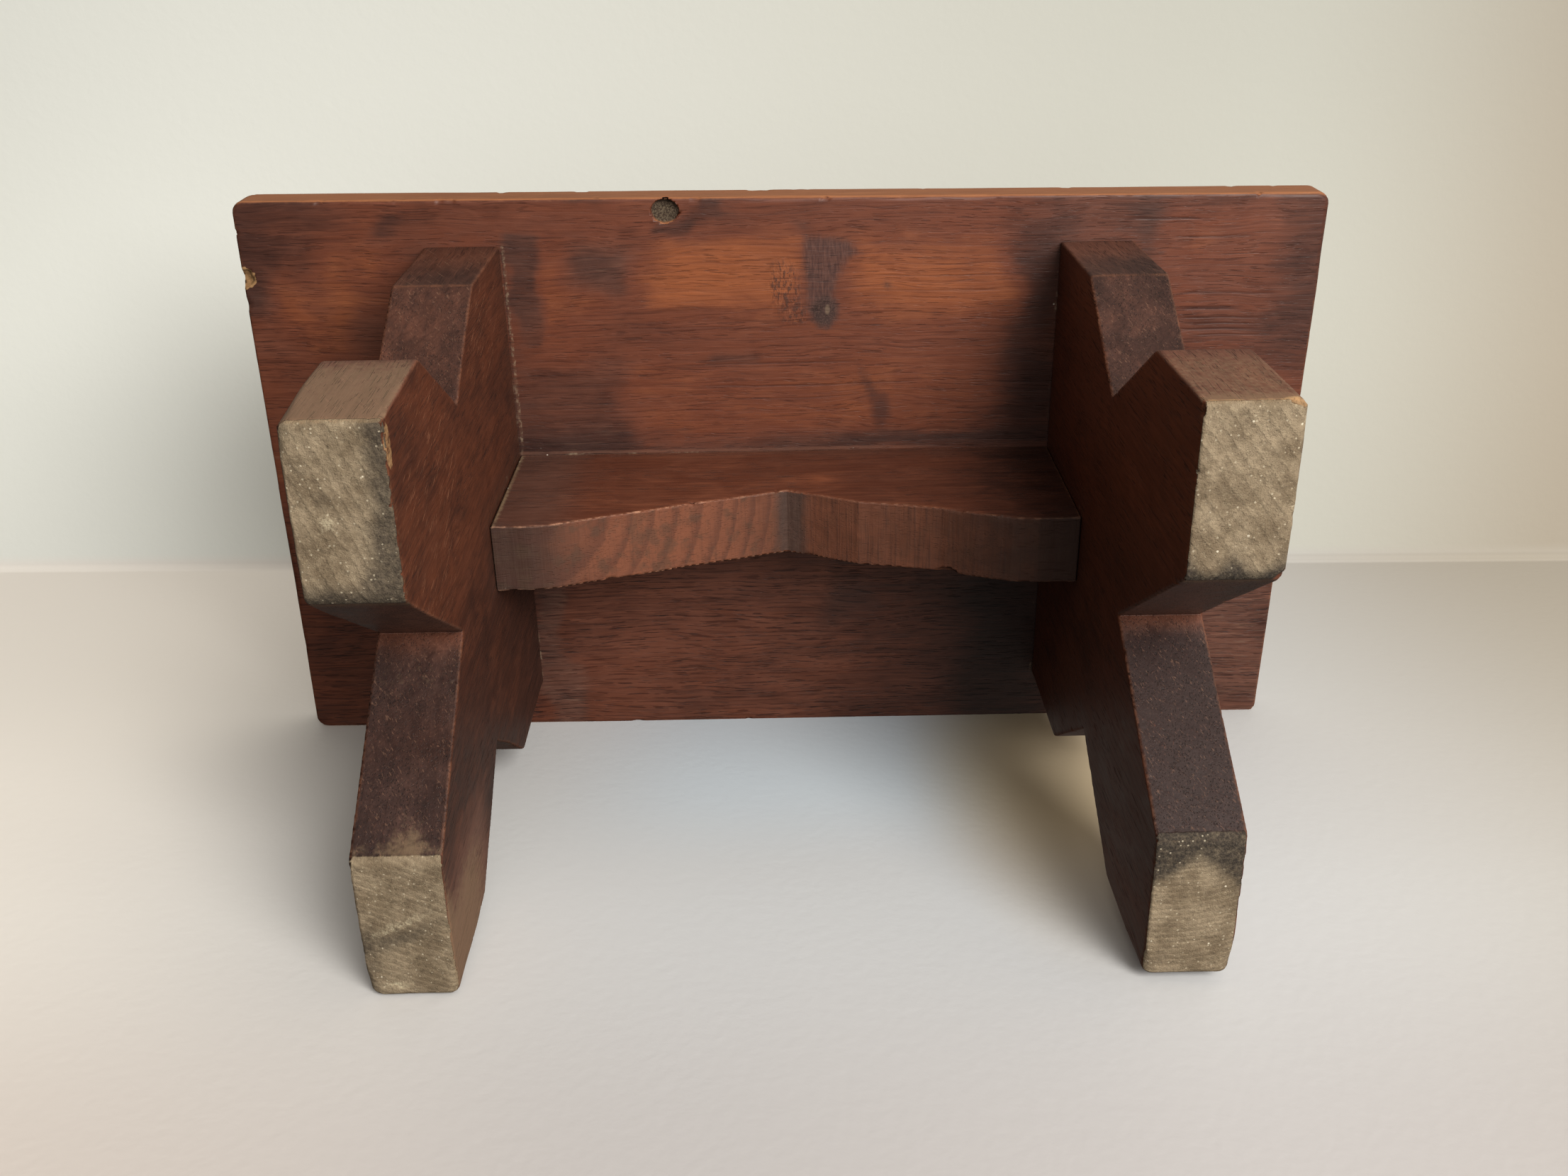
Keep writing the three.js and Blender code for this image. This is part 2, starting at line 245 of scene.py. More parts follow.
# ---------------------------------------------------------------- meshes from distances
def surface_nets(distance, low, high, step):
    """Vertices and quads close to the zero surface of a distance function."""
    margin = 2.37 * step
    low = np.asarray(low, float) - margin
    count = np.ceil((np.asarray(high, float) + margin - low) / step).astype(int) + 1
    axes = [low[k] + step * np.arange(count[k]) for k in range(3)]
    value = np.empty(count, np.float32)
    layers = max(1, 400000 // (count[1] * count[2]))  # worked out a few layers at a time
    grid_y, grid_z = np.meshgrid(axes[1], axes[2], indexing="ij")
    for i in range(0, count[0], layers):
        xs = axes[0][i:i + layers]
        points = np.stack([
            np.repeat(xs, grid_y.size),
            np.tile(grid_y.ravel(), len(xs)),
            np.tile(grid_z.ravel(), len(xs)),
        ], 1)
        value[i:i + layers] = distance(points).reshape(len(xs), count[1], count[2])

    # one vertex in each cell that the surface crosses, at the mean of its edge crossings
    inside = value < 0
    cell_count = count - 1
    corners = [(i, j, k) for i in (0, 1) for j in (0, 1) for k in (0, 1)]
    filled = sum(
        inside[i:i + cell_count[0], j:j + cell_count[1], k:k + cell_count[2]].astype(np.int8)
        for i, j, k in corners
    )
    active = (filled > 0) & (filled < 8)
    index = np.full(cell_count, -1, np.int64)
    cells = np.argwhere(active)
    index[active] = np.arange(len(cells))
    total = np.zeros((len(cells), 3))
    crossings = np.zeros(len(cells))
    at_corner = [value[cells[:, 0] + i, cells[:, 1] + j, cells[:, 2] + k] for i, j, k in corners]
    for a in range(8):
        for b in range(a + 1, 8):
            start, end = np.array(corners[a]), np.array(corners[b])
            if np.abs(start - end).sum() != 1:
                continue
            crossed = (at_corner[a] < 0) != (at_corner[b] < 0)
            drop = np.where(crossed, at_corner[a] - at_corner[b], 1)
            along = np.where(crossed, at_corner[a] / drop, 0)
            total += crossed[:, None] * (start + along[:, None] * (end - start))
            crossings += crossed
    vertices = low + step * (cells + total / crossings[:, None])

    # one quad round each grid edge that the surface crosses
    quads = []
    for axis in range(3):
        second, third = (axis + 1) % 3, (axis + 2) % 3
        before = [slice(0, count[k]) for k in range(3)]
        after = list(before)
        before[axis] = slice(0, count[axis] - 1)
        after[axis] = slice(1, count[axis])
        starts, ends = inside[tuple(before)], inside[tuple(after)]
        edges = np.argwhere(starts != ends)
        for k in (second, third):
            edges = edges[(edges[:, k] > 0) & (edges[:, k] < cell_count[k])]
        outward = starts[edges[:, 0], edges[:, 1], edges[:, 2]]
        back2, back3 = np.zeros(3, int), np.zeros(3, int)
        back2[second], back3[third] = 1, 1
        around = [edges - back2 - back3, edges - back3, edges, edges - back2]
        quad = np.stack([index[cell[:, 0], cell[:, 1], cell[:, 2]] for cell in around], 1)
        quad[~outward] = quad[~outward][:, ::-1]
        quads.append(quad)
    return vertices, np.concatenate(quads)


def project(points, distance):
    """Moves points onto the surface; returns them and their normals."""
    for _ in range(3):
        here = distance(points)
        slope = [(distance(points + axis * 0.02) - here) / 0.02 for axis in np.eye(3)]
        slope = np.stack(slope, 1)
        steepness = np.maximum((slope * slope).sum(1), 0.2)
        points = points - slope * np.clip(here / steepness, -0.7, 0.7)[:, None]
    normals = [distance(points + axis * 0.12) - distance(points - axis * 0.12) for axis in np.eye(3)]
    normals = np.stack(normals, 1)
    normals /= np.maximum(np.linalg.norm(normals, axis=1), 1e-9)[:, None]
    return points, normals


def add_object(name, data):
    piece = bpy.data.objects.new(name, data)
    bpy.context.scene.collection.objects.link(piece)
    return piece


def build(name, distance, low, high, step, marks, play):
    """Meshes one board, moves it by its play and stores its marks as attributes."""
    points, quads = surface_nets(distance, low, high, step)
    points, normals = project(points, distance)
    placed = play(points)
    mesh = bpy.data.meshes.new(name)
    mesh.vertices.add(len(placed))
    mesh.vertices.foreach_set("co", (placed * MM).astype(np.float32).ravel())
    mesh.loops.add(len(quads) * 4)
    mesh.loops.foreach_set("vertex_index", quads.astype(np.int32).ravel())
    mesh.polygons.add(len(quads))
    mesh.polygons.foreach_set("loop_start", np.arange(0, len(quads) * 4, 4, dtype=np.int32))
    mesh.polygons.foreach_set("use_smooth", np.ones(len(quads), bool))
    mesh.update(calc_edges=True)
    mesh.validate()
    for key, values in marks(points, normals, placed).items():
        attribute = mesh.attributes.new(key, "FLOAT", "POINT")
        attribute.data.foreach_set("value", np.asarray(values, np.float32))
    board = add_object(name, mesh)
    mesh.normals_split_custom_set_from_vertices(normals.astype(np.float32))
    return board


# ---------------------------------------------------------------- shape of the top board
def top_parts(points):
    """Outline and slab distances of the top."""
    across = [np.abs(points[:, k] - TOP_MID[k]) - (TOP_HALF[k] - TOP_CORNER) for k in (0, 1)]
    outline = overlap(*across) - TOP_CORNER
    return outline, np.abs(points[:, 2] - TOP_MID[2]) - TOP_HALF[2]


def footprint_distance(points):
    """Distance in plan to the panels and the rail where they meet the underside."""
    x, y, _ = points.T
    panels = np.maximum(np.abs(np.abs(x) - PANEL_MID) - PANEL_HALF_THICK, np.abs(y) - PANEL_HALF)
    rail = np.maximum(np.abs(x) - PANEL_INNER, np.abs(y - RAIL_MID) - RAIL_HALF_THICK)
    return np.minimum(panels, rail)


def hollow_radius(points):
    off_x, off_y = points[:, 0] - HOLLOW[0], points[:, 1] - HOLLOW[1]
    return HOLLOW_R * np.hypot(off_x / HOLLOW_HALF[0], off_y / HOLLOW_HALF[1])


def deep_marks(points):
    """True near the hollow and the edge chip, which reach well below the surface."""
    x, y, _ = points.T
    off_x, off_y = x - HOLLOW[0], y - HOLLOW[1]
    return (off_x * off_x + off_y * off_y < 60) | ((x < -183) & (np.abs(y + 79) < 8))


def cut_deep_marks(points, distance):
    distance = np.maximum(distance, chip(points, EDGE_CHIP, (5.4, 3.5, 3.2), 11, 0.45))
    radius = hollow_radius(points)
    rim = HOLLOW_R + 0.30 * noise(points, 1.8, 2, 14)
    floor = UNDERSIDE + HOLLOW_DEPTH + 0.35 * noise(points, 1.3, 2, 15)
    floor = floor - 0.9 * ramp(radius, 0.5, 4.0) - 0.7 * (points[:, 1] - HOLLOW[1]) / HOLLOW_R
    return np.maximum(distance, -plate(radius - rim, points[:, 2] - floor, 0.5))


def top_detail(points, outline, slab):
    _, y, z = points.T
    wear = ramp(noise(points, 30, 2, 3), 0.1, 0.8)
    radius = 0.9 + 1.1 * wear + 0.3 * (y < 0)
    distance = plate(outline + 0.10 * (1 + noise(points, 60, 1, 4)) * 0.5, slab, radius)
    waves = 0.10 * (1 + noise(points, 34, 2, 5)) + 0.035 * noise(points * [0.25, 1, 1], 5, 1, 6)
    away = ramp(footprint_distance(points), 0.5, 9)  # the underside stays flat at its joints
    distance = distance + waves * np.where(z < TOP_MID[2], away, 1)
    distance = distance + dents(points, arris_distance(outline, slab), 5.0, 0.52, 2.4, 3.0, 0.4, 12)
    deep = deep_marks(points)
    if deep.any():
        distance[deep] = cut_deep_marks(points[deep], distance[deep])
    return distance


def top_distance(points):
    reach = np.where(deep_marks(points), 5.0, 1.7)
    return with_detail(points, *top_parts(points), 1.2, reach, top_detail)


# ---------------------------------------------------------------- shape of the end panels
NOTCH_Y = PANEL_HALF - NOTCH_DEPTH
PANEL_TOP = UNDERSIDE - JOINT_GAP
# Corners of a panel: y, z, radius
PANEL_OUTLINE = rounded([
    (-PANEL_HALF, 0, 2.2), (-FOOT_HALF, 0, 3.0), (0, FOOT_CUT, 0),
    (FOOT_HALF, 0, 2.2), (PANEL_HALF, 0, 2.6),
    (PANEL_HALF, NOTCH_LOW, 2.2), (NOTCH_Y, NOTCH_APEX, 0), (PANEL_HALF, NOTCH_HIGH, 2.0),
    (PANEL_HALF, PANEL_TOP, 0.3), (-PANEL_HALF, PANEL_TOP, 0.3),
    (-PANEL_HALF, NOTCH_HIGH, 2.0), (-NOTCH_Y, NOTCH_APEX, 0), (-PANEL_HALF, NOTCH_LOW, 2.2),
])
# The corners that stick out and so are worn: y, z
PANEL_WORN_CORNERS = [
    (sign * y, z) for sign in (-1, 1)
    for y, z in ((PANEL_HALF, 0), (FOOT_HALF, 0), (PANEL_HALF, NOTCH_LOW), (PANEL_HALF, NOTCH_HIGH))
]
PANEL_GRID = OutlineGrid(
    PANEL_OUTLINE, (-PANEL_HALF - 4, -4), (PANEL_HALF + 4, UNDERSIDE + 4), axes=(1, 2)
)
PANEL_SEEDS = {-1: 40, 1: 80}
# Chips low on each panel: centre, half-sizes, seed, roughness
PANEL_CHIPS = {
    -1: [
        ((-PANEL_INNER + 0.3, -82.5, 0.2), (1.2, 5.5, 1.6), 48, 0.4),
        ((-PANEL_INNER + 0.7, -66.0, -0.3), (1.4, 12.0, 1.4), 49, 0.3),
    ],
    1: [
        ((PANEL_OUTER, -86.9, 1.0), (4.0, 1.8, 2.8), 88, 0.4),
        ((PANEL_OUTER, -38.0, 0.0), (3.0, 3.6, 3.4), 89, 0.3),
    ],
}


def panel_parts(points, side):
    return PANEL_GRID(points), np.abs(points[:, 0] - side * PANEL_MID) - PANEL_HALF_THICK


def panel_radius(points, side, seed):
    """Arris radius: larger at the ends of the feet, small under the top."""
    x, y, z = points.T
    outer = side * (x - side * PANEL_MID) > 0
    radius = 0.7 + 0.5 * ramp(noise(points, 18, 2, seed), -0.2, 0.8)
    ends = ramp(np.abs(y), PANEL_HALF - 13, PANEL_HALF - 3)
    front_end = np.where(outer, 2.4 if side < 0 else 1.2, 0.3)
    end_wear = np.where(y > 0, np.where(outer, 3.0, 2.4), front_end)
    radius = radius + ramp(z, 30, 0) * (-0.1 + ends * end_wear)
    radius = radius + 0.5 * ramp(z, 60, 40) * outer * (y < 0)
    return np.where(z > UNDERSIDE - 3, 0.35, radius)


def panel_distance(side):
    """Distance function of the left (-1) or right (1) panel."""
    seed = PANEL_SEEDS[side]

    def detail(points, outline, slab):
        z = points[:, 2]
        distance = plate(outline, slab, panel_radius(points, side, seed))
        below_joint = ramp(z, UNDERSIDE - 1.5, UNDERSIDE - 7)
        waves = 0.09 * (1 + noise(points, 28, 2, seed + 1))
        waves = waves + 0.045 * (1 + noise(points * [1, 1, 0.3], 6, 2, seed + 2))
        distance = distance + below_joint * waves
        sole_wear = 0.22 * (1 + noise(points, 3.4, 3, seed + 3))
        sole_wear = sole_wear + 0.12 * np.maximum(noise(points, 1.3, 2, seed + 4), 0)
        distance = distance + ramp(z, 2.0, 0.4) * sole_wear
        edge = arris_distance(outline, slab)
        dented = dents(points, edge, 4.2, 0.42, 2.0, 2.6, 0.3, seed + 5)
        distance = distance + dented * below_joint
        for bite in PANEL_CHIPS[side]:
            distance = np.maximum(distance, chip(points, *bite))
        return distance

    def distance(points):
        reach = np.where(points[:, 2] < 12, 3.5, 1.9)
        return with_detail(points, *panel_parts(points, side), 1.0, reach, detail)

    return distance


# ---------------------------------------------------------------- shape of the rail
RAIL_END = PANEL_INNER - 0.05
RAIL_TOP = UNDERSIDE - JOINT_GAP
# The end stations are stretched past the panels and then trimmed to the rail's ends
RAIL_OUTLINE = np.array([
    (-RAIL_END, RAIL_TOP),
    *((np.clip(x * 1.01 if abs(x) > 98 else x, -RAIL_END, RAIL_END), z) for x, z in RAIL_EDGE),
    (RAIL_END, RAIL_TOP),
])
RAIL_GRID = OutlineGrid(
    RAIL_OUTLINE, (-PANEL_INNER - 4, 108), (PANEL_INNER + 4, UNDERSIDE + 4), axes=(0, 2)
)


def rail_parts(points):
    return RAIL_GRID(points), np.abs(points[:, 1] - RAIL_MID) - RAIL_HALF_THICK


def rail_detail(points, outline, slab):
    x, _, z = points.T
    radius = 0.45 + 0.5 * ramp(noise(points, 14, 2, 120), 0, 0.8)
    radius = np.where(z > UNDERSIDE - 3, 0.3, radius)
    radius = 0.10 + radius * ramp(PANEL_INNER - np.abs(x), 0.5, 4.0)
    distance = plate(outline, slab, radius)
    clear = ramp(z, UNDERSIDE - 1.5, UNDERSIDE - 7)  # 0 at the joints
    clear = clear * ramp(np.abs(x), PANEL_INNER - 1, PANEL_INNER - 6)
    waves = 0.07 * (1 + noise(points, 30, 2, 121))
    waves = waves + 0.03 * (1 + noise(points * [0.3, 1, 1], 5, 2, 122))
    distance = distance + clear * waves
    edge = arris_distance(outline, slab)
    distance = distance + dents(points, edge, 4.0, 0.4, 1.8, 2.4, 0.3, 123) * clear
    # the sawn lower edge: slight waves across the cut
    sawn = ramp(np.abs(outline), 1.5, 0.2) * clear
    saw_waves = 0.10 * (1 + value_noise(points * [0.42, 0.03, 0.0], 124))
    distance = distance + sawn * (saw_waves + 0.05 * (1 + noise(points, 2.4, 2, 125)))
    bite = chip(points, (53.5, RAIL_HI[1] + 0.4, 124.0), (6.0, 2.4, 2.2), 126, 0.3)
    return np.maximum(distance, bite)


def rail_distance(points):
    return with_detail(points, *rail_parts(points), 0.6, 1.9, rail_detail)


# ---------------------------------------------------------------- play: boards a little askew
def between_corners(across, along, corners):
    """Between four corners: (-,-), (+,-), (-,+), (+,+)."""
    low_low, high_low, low_high, high_high = corners
    front = (1 - across) * low_low + across * high_low
    back = (1 - across) * low_high + across * high_high
    return (1 - along) * front + along * back


def top_play(points):
    across, along = ((points[:, k] / TOP_HALF[k] + 1) / 2 for k in (0, 1))
    out = points.copy()
    out[:, 0] += between_corners(across, along, (1.34, 0.39, -1.19, -0.08))
    out[:, 1] += between_corners(across, along, (-0.82, 2.67, 0.18, 1.69))
    return out


def left_play(points):
    x, y, z = points.T
    drop = (UNDERSIDE - z) / UNDERSIDE
    low = np.maximum(0, (112 - z) / 112)
    outward = (PANEL_HALF_THICK - (x + PANEL_MID)) / (2 * PANEL_HALF_THICK)
    front, back = ramp(-y, 25, 62), ramp(y, 30, 75)
    heights = [0, NOTCH_LOW, NOTCH_APEX, NOTCH_HIGH]
    out = points.copy()
    out[:, 1] += -2.40 + 2.33 * drop + front * np.interp(z, heights, [-2.5, -3.0, -4.0, 0])
    out[:, 1] += back * (0.9 * ramp(z, 45, 0) + 1.9 * ramp(z, 104, 134))
    out[:, 0] += low * (2.05 - 0.75 * y / PANEL_HALF) - 1.3 * outward
    return out


def right_play(points):
    x, y, z = points.T
    drop = (UNDERSIDE - z) / UNDERSIDE
    low = np.maximum(0, (112 - z) / 112)
    outward = (x - PANEL_MID + PANEL_HALF_THICK) / (2 * PANEL_HALF_THICK)
    front, back = ramp(-y, 25, 62), ramp(y, 30, 75)
    notch = np.interp(z, [NOTCH_LOW, NOTCH_APEX, NOTCH_HIGH], [0, -2.0, 0])
    out = points.copy()
    out[:, 1] += -0.51 - 2.67 * drop + front * notch + back * 1.5 * ramp(z, 45, 0)
    out[:, 0] += low * (1.5 + 0.7 * y / PANEL_HALF) + 0.7 * outward
    return out


# ---------------------------------------------------------------- marks for the materials
FAR = 30.0  # a distance at which a mark has no effect
# Every board carries all of these, with these values where it has no such mark:
# distances in mm (edge, joint, stain, spot, rough, knot, hollow), then strengths and phases
MARKS = dict(
    edge=FAR, joint=FAR, stain=FAR, spot=FAR, rough=FAR, knot=FAR, tone=0.0, hollow=FAR,
    pit=0.0, bare=0.0, sole=0.0, under=0.0, dust=0.0, grey=0.0, rings=0.0,
)


def all_marks(points, **given):
    return {key: given.get(key, np.full(len(points), usual)) for key, usual in MARKS.items()}


def ellipse(points, mid_x, mid_y, half_x, half_y, degrees=0.0):
    """Roughly the signed distance to a turned ellipse in the first two coordinates."""
    cos, sin = math.cos(math.radians(degrees)), math.sin(math.radians(degrees))
    off_x, off_y = points[:, 0] - mid_x, points[:, 1] - mid_y
    along, across = off_x * cos + off_y * sin, -off_x * sin + off_y * cos
    return (np.hypot(along / half_x, across / half_y) - 1) * min(half_x, half_y)


def merge(first, second, blend):
    """Joins two distances, with their borders blended over `blend` mm."""
    part = np.clip(0.5 + 0.5 * (second - first) / blend, 0, 1)
    return second * (1 - part) + first * part - blend * part * (1 - part)


# Border of the dark stain on the underside: x, y
STAIN_OUTLINE = [
    (8.3, -91.2), (16, -91.0), (24.1, -89.6), (28.8, -84.3), (23, -80.4), (21, -75.4),
    (19.4, -69.6), (21.2, -64.8), (18.6, -58.3), (15.7, -57), (11.5, -59.4), (9.6, -63.8),
    (8.5, -68), (8.5, -73.3), (7.3, -81.7), (7.3, -87),
]

# Areas of colour on the underside, with painted shade in the dark areas beside the right panel: x
# from, x to, y from, y to, softness, tone, greyness
AREAS = [
    (-200, -160, -112, -73, 7, -0.55, 0.10), (-160, -151, -112, -92, 5, -0.15, 0.05),
    (-150, -142, -102, -89, 4, 0.20, 0.0), (-142, -134, -100, -90, 3.5, -0.50, 0.15),
    (-134, -98, -106, -90, 6, -0.12, 0.05), (-178, -138, -86, -51, 7, 0.30, 0.0),
    (-176, -169, -84, -62, 3.5, 0.28, 0.0), (-160, -150, -82, -60, 4, 0.30, 0.0),
    (-143, -135, -87, -76, 3.5, 0.32, 0.0), (-196, -179, -77, -65, 4, -0.55, 0.30),
    (-154, -141, -64, -51, 4.5, -0.45, 0.15), (-200, -176, -62, -40, 6, -0.10, 0.1),
    (-170, -126, -50, -20, 8, 0.10, 0.0), (-98, -87.5, -92, -57, 1.6, -0.55, 0.30),
    (-87, -80.5, -84, -57, 2.5, 0.30, 0.0), (-77, -55, -90, -74, 4.5, -0.55, 0.45),
    (-47, 4, -93, -64, 6, 0.62, 0.0), (-39, -17, -87, -70, 6, 0.40, 0.0),
    (24, 81, -90, -63, 6, 0.56, 0.0), (30, 62, -84, -69, 6, 0.22, 0.0),
    (-74, -20, -66, -53, 4, -0.12, 0.0), (-78, -60, -74, -58, 5, 0.28, 0.0),
    (-22, -8.5, -50.2, -46, 2.0, -0.45, 0.2), (-100, -56, -46, -10, 9, -0.38, 0.30),
    (-53, 72, -46, -16, 5, 0.26, 0.0), (-40, 60, -62, -48, 6, 0.16, 0.0),
    (-98, 98, -18.5, -10, 2.5, -0.46, 0.20), (20, 98, -20, -10, 4, -0.25, 0.1),
    (-39, -14, -104, -91, 4, -0.30, 0.0), (-47, -33, -97.5, -93, 1.6, -0.5, 0.2),
    (-32, -22, -103, -98.5, 2.0, -0.45, 0.2), (5, 10, -97, -91, 2.5, -0.4, 0.2),
    # the two areas on the next line are painted shade beside the right panel
    (84, 98, -95, -20, 8, -0.45, 0.0), (60, 98, -45, -20, 12, -0.25, 0.0),
    (96, 131, -103, -89, 6, -0.20, 0.22), (123, 131.5, -103, -76, 4, -0.24, 0.15),
    (132, 174, -98, -49, 6, 0.34, 0.0), (147, 157, -89, -82, 3, 0.35, 0.0),
    (140, 151, -69, -61, 3.5, 0.35, 0.0), (174, 200, -112, -40, 7, -0.16, 0.10),
    (132, 176, -60, -50, 3, -0.20, 0.05), (136, 180, -46, -10, 8, 0.15, 0.0),
    (98, 200, -112, -100, 4, -0.10, 0.2), (17, 40, 42, 60, 5, -0.35, 0.20),
    (-90, 22, 30, 112, 12, 0.10, 0.25), (22, 70, 12, 112, 14, -0.02, 0.10),
    # the second area on the next line is painted shade beside the right panel
    (-99, -86, 12, 112, 2.5, -0.05, 0.60), (84, 99, -104, -20, 6, -0.32, 0.0),
    # the first area on the next line is painted shade behind the rail, beside the right panel
    (70, 99, 10, 112, 10, -0.70, 0.0), (128, 200, -100, -30, 12, -0.20, 0.08),
    (134, 200, 10, 112, 12, 0.66, 0.75), (-200, -130, -30, 60, 20, 0.22, 0.0),
]


def soft_band(value, start, end, soft):
    return ramp(value, start - soft, start + soft) - ramp(value, end - soft, end + soft)


def underside_tones(placed):
    """Tone (+1 orange-red, -1 dark purple-brown) and greyness, with wandering borders, and painted
    shade behind the rail towards the right panel.
    """
    x, y, _ = placed.T
    flat = placed * [0.45, 1.0, 0.0]
    wander_x = x + 11.0 * noise(flat, 17, 4, 31)
    wander_y = y + 5.5 * noise(flat + 50, 13, 4, 35)
    tone, grey = np.zeros(len(placed)), np.zeros(len(placed))
    for x_from, x_to, y_from, y_to, soft, area_tone, area_grey in AREAS:
        inside = soft_band(wander_x, x_from, x_to, soft * 1.25)
        inside = inside * soft_band(wander_y, y_from, y_to, soft * 1.25)
        tone = tone + 0.80 * area_tone * inside
        grey = grey + 0.75 * area_grey * inside
    # darker behind the rail; painted shade deepening towards the right panel behind the rail; darker
    # again past x 90
    tone = tone - 0.26 * ramp(y, -8, 14) - 0.30 * ramp(x, 5, 95) * ramp(y, -5, 25)
    return tone - 0.14 * ramp(x, 90, 130), grey


def top_marks(points, _normals, placed):
    under = points[:, 2] < TOP_MID[2]

    def below(value, above=FAR):
        return np.where(under, value, above)

    spot = merge(
        ellipse(placed, 15.4, -63.4, 5.2, 6.2), ellipse(placed, 37.8, -72.7, 1.6, 1.5), 1)
    torn = merge(
        ellipse(placed, 1.5, -72.0, 6.0, 10.0), ellipse(placed, 5.0, -63.0, 4.5, 4.5), 3)
    knot = merge(
        ellipse(placed, 36.2, -26.4, 3.2, 6.2), ellipse(placed, 32.6, -33.5, 1.5, 7.5, -25), 2)
    tone, grey = underside_tones(placed)
    hollow = below(hollow_radius(points) - HOLLOW_R)
    # painted shadow mask of the hollow: low round the rim and on its upper (-y) wall, where it is
    # painted dark
    pit = ramp(points[:, 2], UNDERSIDE + 0.5, UNDERSIDE + 1.6)
    pit = pit * ramp(points[:, 1] - HOLLOW[1], -3.6, -1.4)
    return all_marks(
        points,
        edge=arris_distance(*top_parts(points)),
        joint=below(np.abs(footprint_distance(points))),
        stain=below(polygon_distance(placed[:, 0], placed[:, 1], STAIN_OUTLINE)),
        spot=below(spot), rough=below(torn), knot=below(knot),
        tone=below(tone, 0.12), grey=below(grey, 0.0),
        hollow=hollow, pit=np.where(under & (hollow < 1.2), pit, 0),
        bare=ramp(ellipsoid(points, EDGE_CHIP, (6.2, 4.2, 4.0)), 1.06, 0.94),
        under=under.astype(float),
    )


def left_sole_marks(points, _normals, placed):
    """Bare wood, dark patches, pale patches, growth rings and scratched faces."""
    x, y, z = placed.T
    rear = points[:, 1] > 0
    bare = 0.55 * ramp(ellipsoid(points, (-PANEL_INNER, -78.5, 3.2), (2.0, 7.5, 3.0)), 1.3, 0.7)
    front_dark = (-101.8 - 3.2 * ramp(y, -72, -50) - 4.0 * ramp(y, -52, -42)) - x
    front_dark = merge(front_dark, ellipse(placed, -113.5, -68.9, 1.0, 0.9), 0.6)
    front_dark = merge(front_dark, ellipse(placed, -117.6, -77.8, 0.9, 0.9), 0.6)
    front_dark = merge(front_dark, -45.2 - y, 1.5)
    rear_dark = merge(
        ellipse(placed, -121.5, 68.5, 3.0, 8.5), ellipse(placed, -112, 66.0, 9.0, 2.2, -22), 2)
    rear_pale = merge(
        ellipse(placed, -114.8, 82.8, 2.6, 1.0), ellipse(placed, -113, 62, 8, 0.8, -25), 0.5)
    front_pale = ellipse(placed, -112.9, -62.5, 2.2, 2.2) + 0.4
    face = np.stack([y, z], 1)
    return dict(
        bare=bare,
        stain=np.where(rear, rear_dark, front_dark),
        spot=np.where(rear, rear_pale, front_pale),
        rings=np.where(rear, (-0.42 * x + 0.91 * y) / 2.3, (0.93 * x - 0.37 * y) / 3.0),
        rough=merge(ellipse(face, -52, 42, 36, 34), ellipse(face, -70, 140, 14, 26), 4),
    )


def right_sole_marks(points, normals, placed):
    """Bare wood, dark patches and growth rings."""
    x, y, _ = placed.T
    rear = points[:, 1] > 0
    bare = ramp(ellipsoid(points, (PANEL_OUTER, -86.9, 1.0), (7.0, 2.6, 3.4)), 1.15, 0.8)
    foot_end = 0.52 * ramp(points[:, 2], 3.6, 2.2) * ramp(-normals[:, 1], 0.4, 0.8) * (~rear)
    front_dark = -47.2 - y + 2.4 * np.cos((x - 105) * 0.5)
    border = 44.5 + 0.75 * np.maximum(112 - x, 0) + 0.85 * np.maximum(x - 114, 0)
    rear_dark = merge(y - border, ellipse(placed, 106.5, 77.8, 1.3, 1.0), 0.6)
    rear_rings = (0.10 * x + 0.995 * y + 0.010 * (x - 112) ** 2) / 2.0
    return dict(
        bare=np.maximum(bare, foot_end),
        stain=np.where(rear, rear_dark, front_dark),
        rings=np.where(rear, rear_rings, (0.80 * x - 0.60 * y) / 3.2),
    )


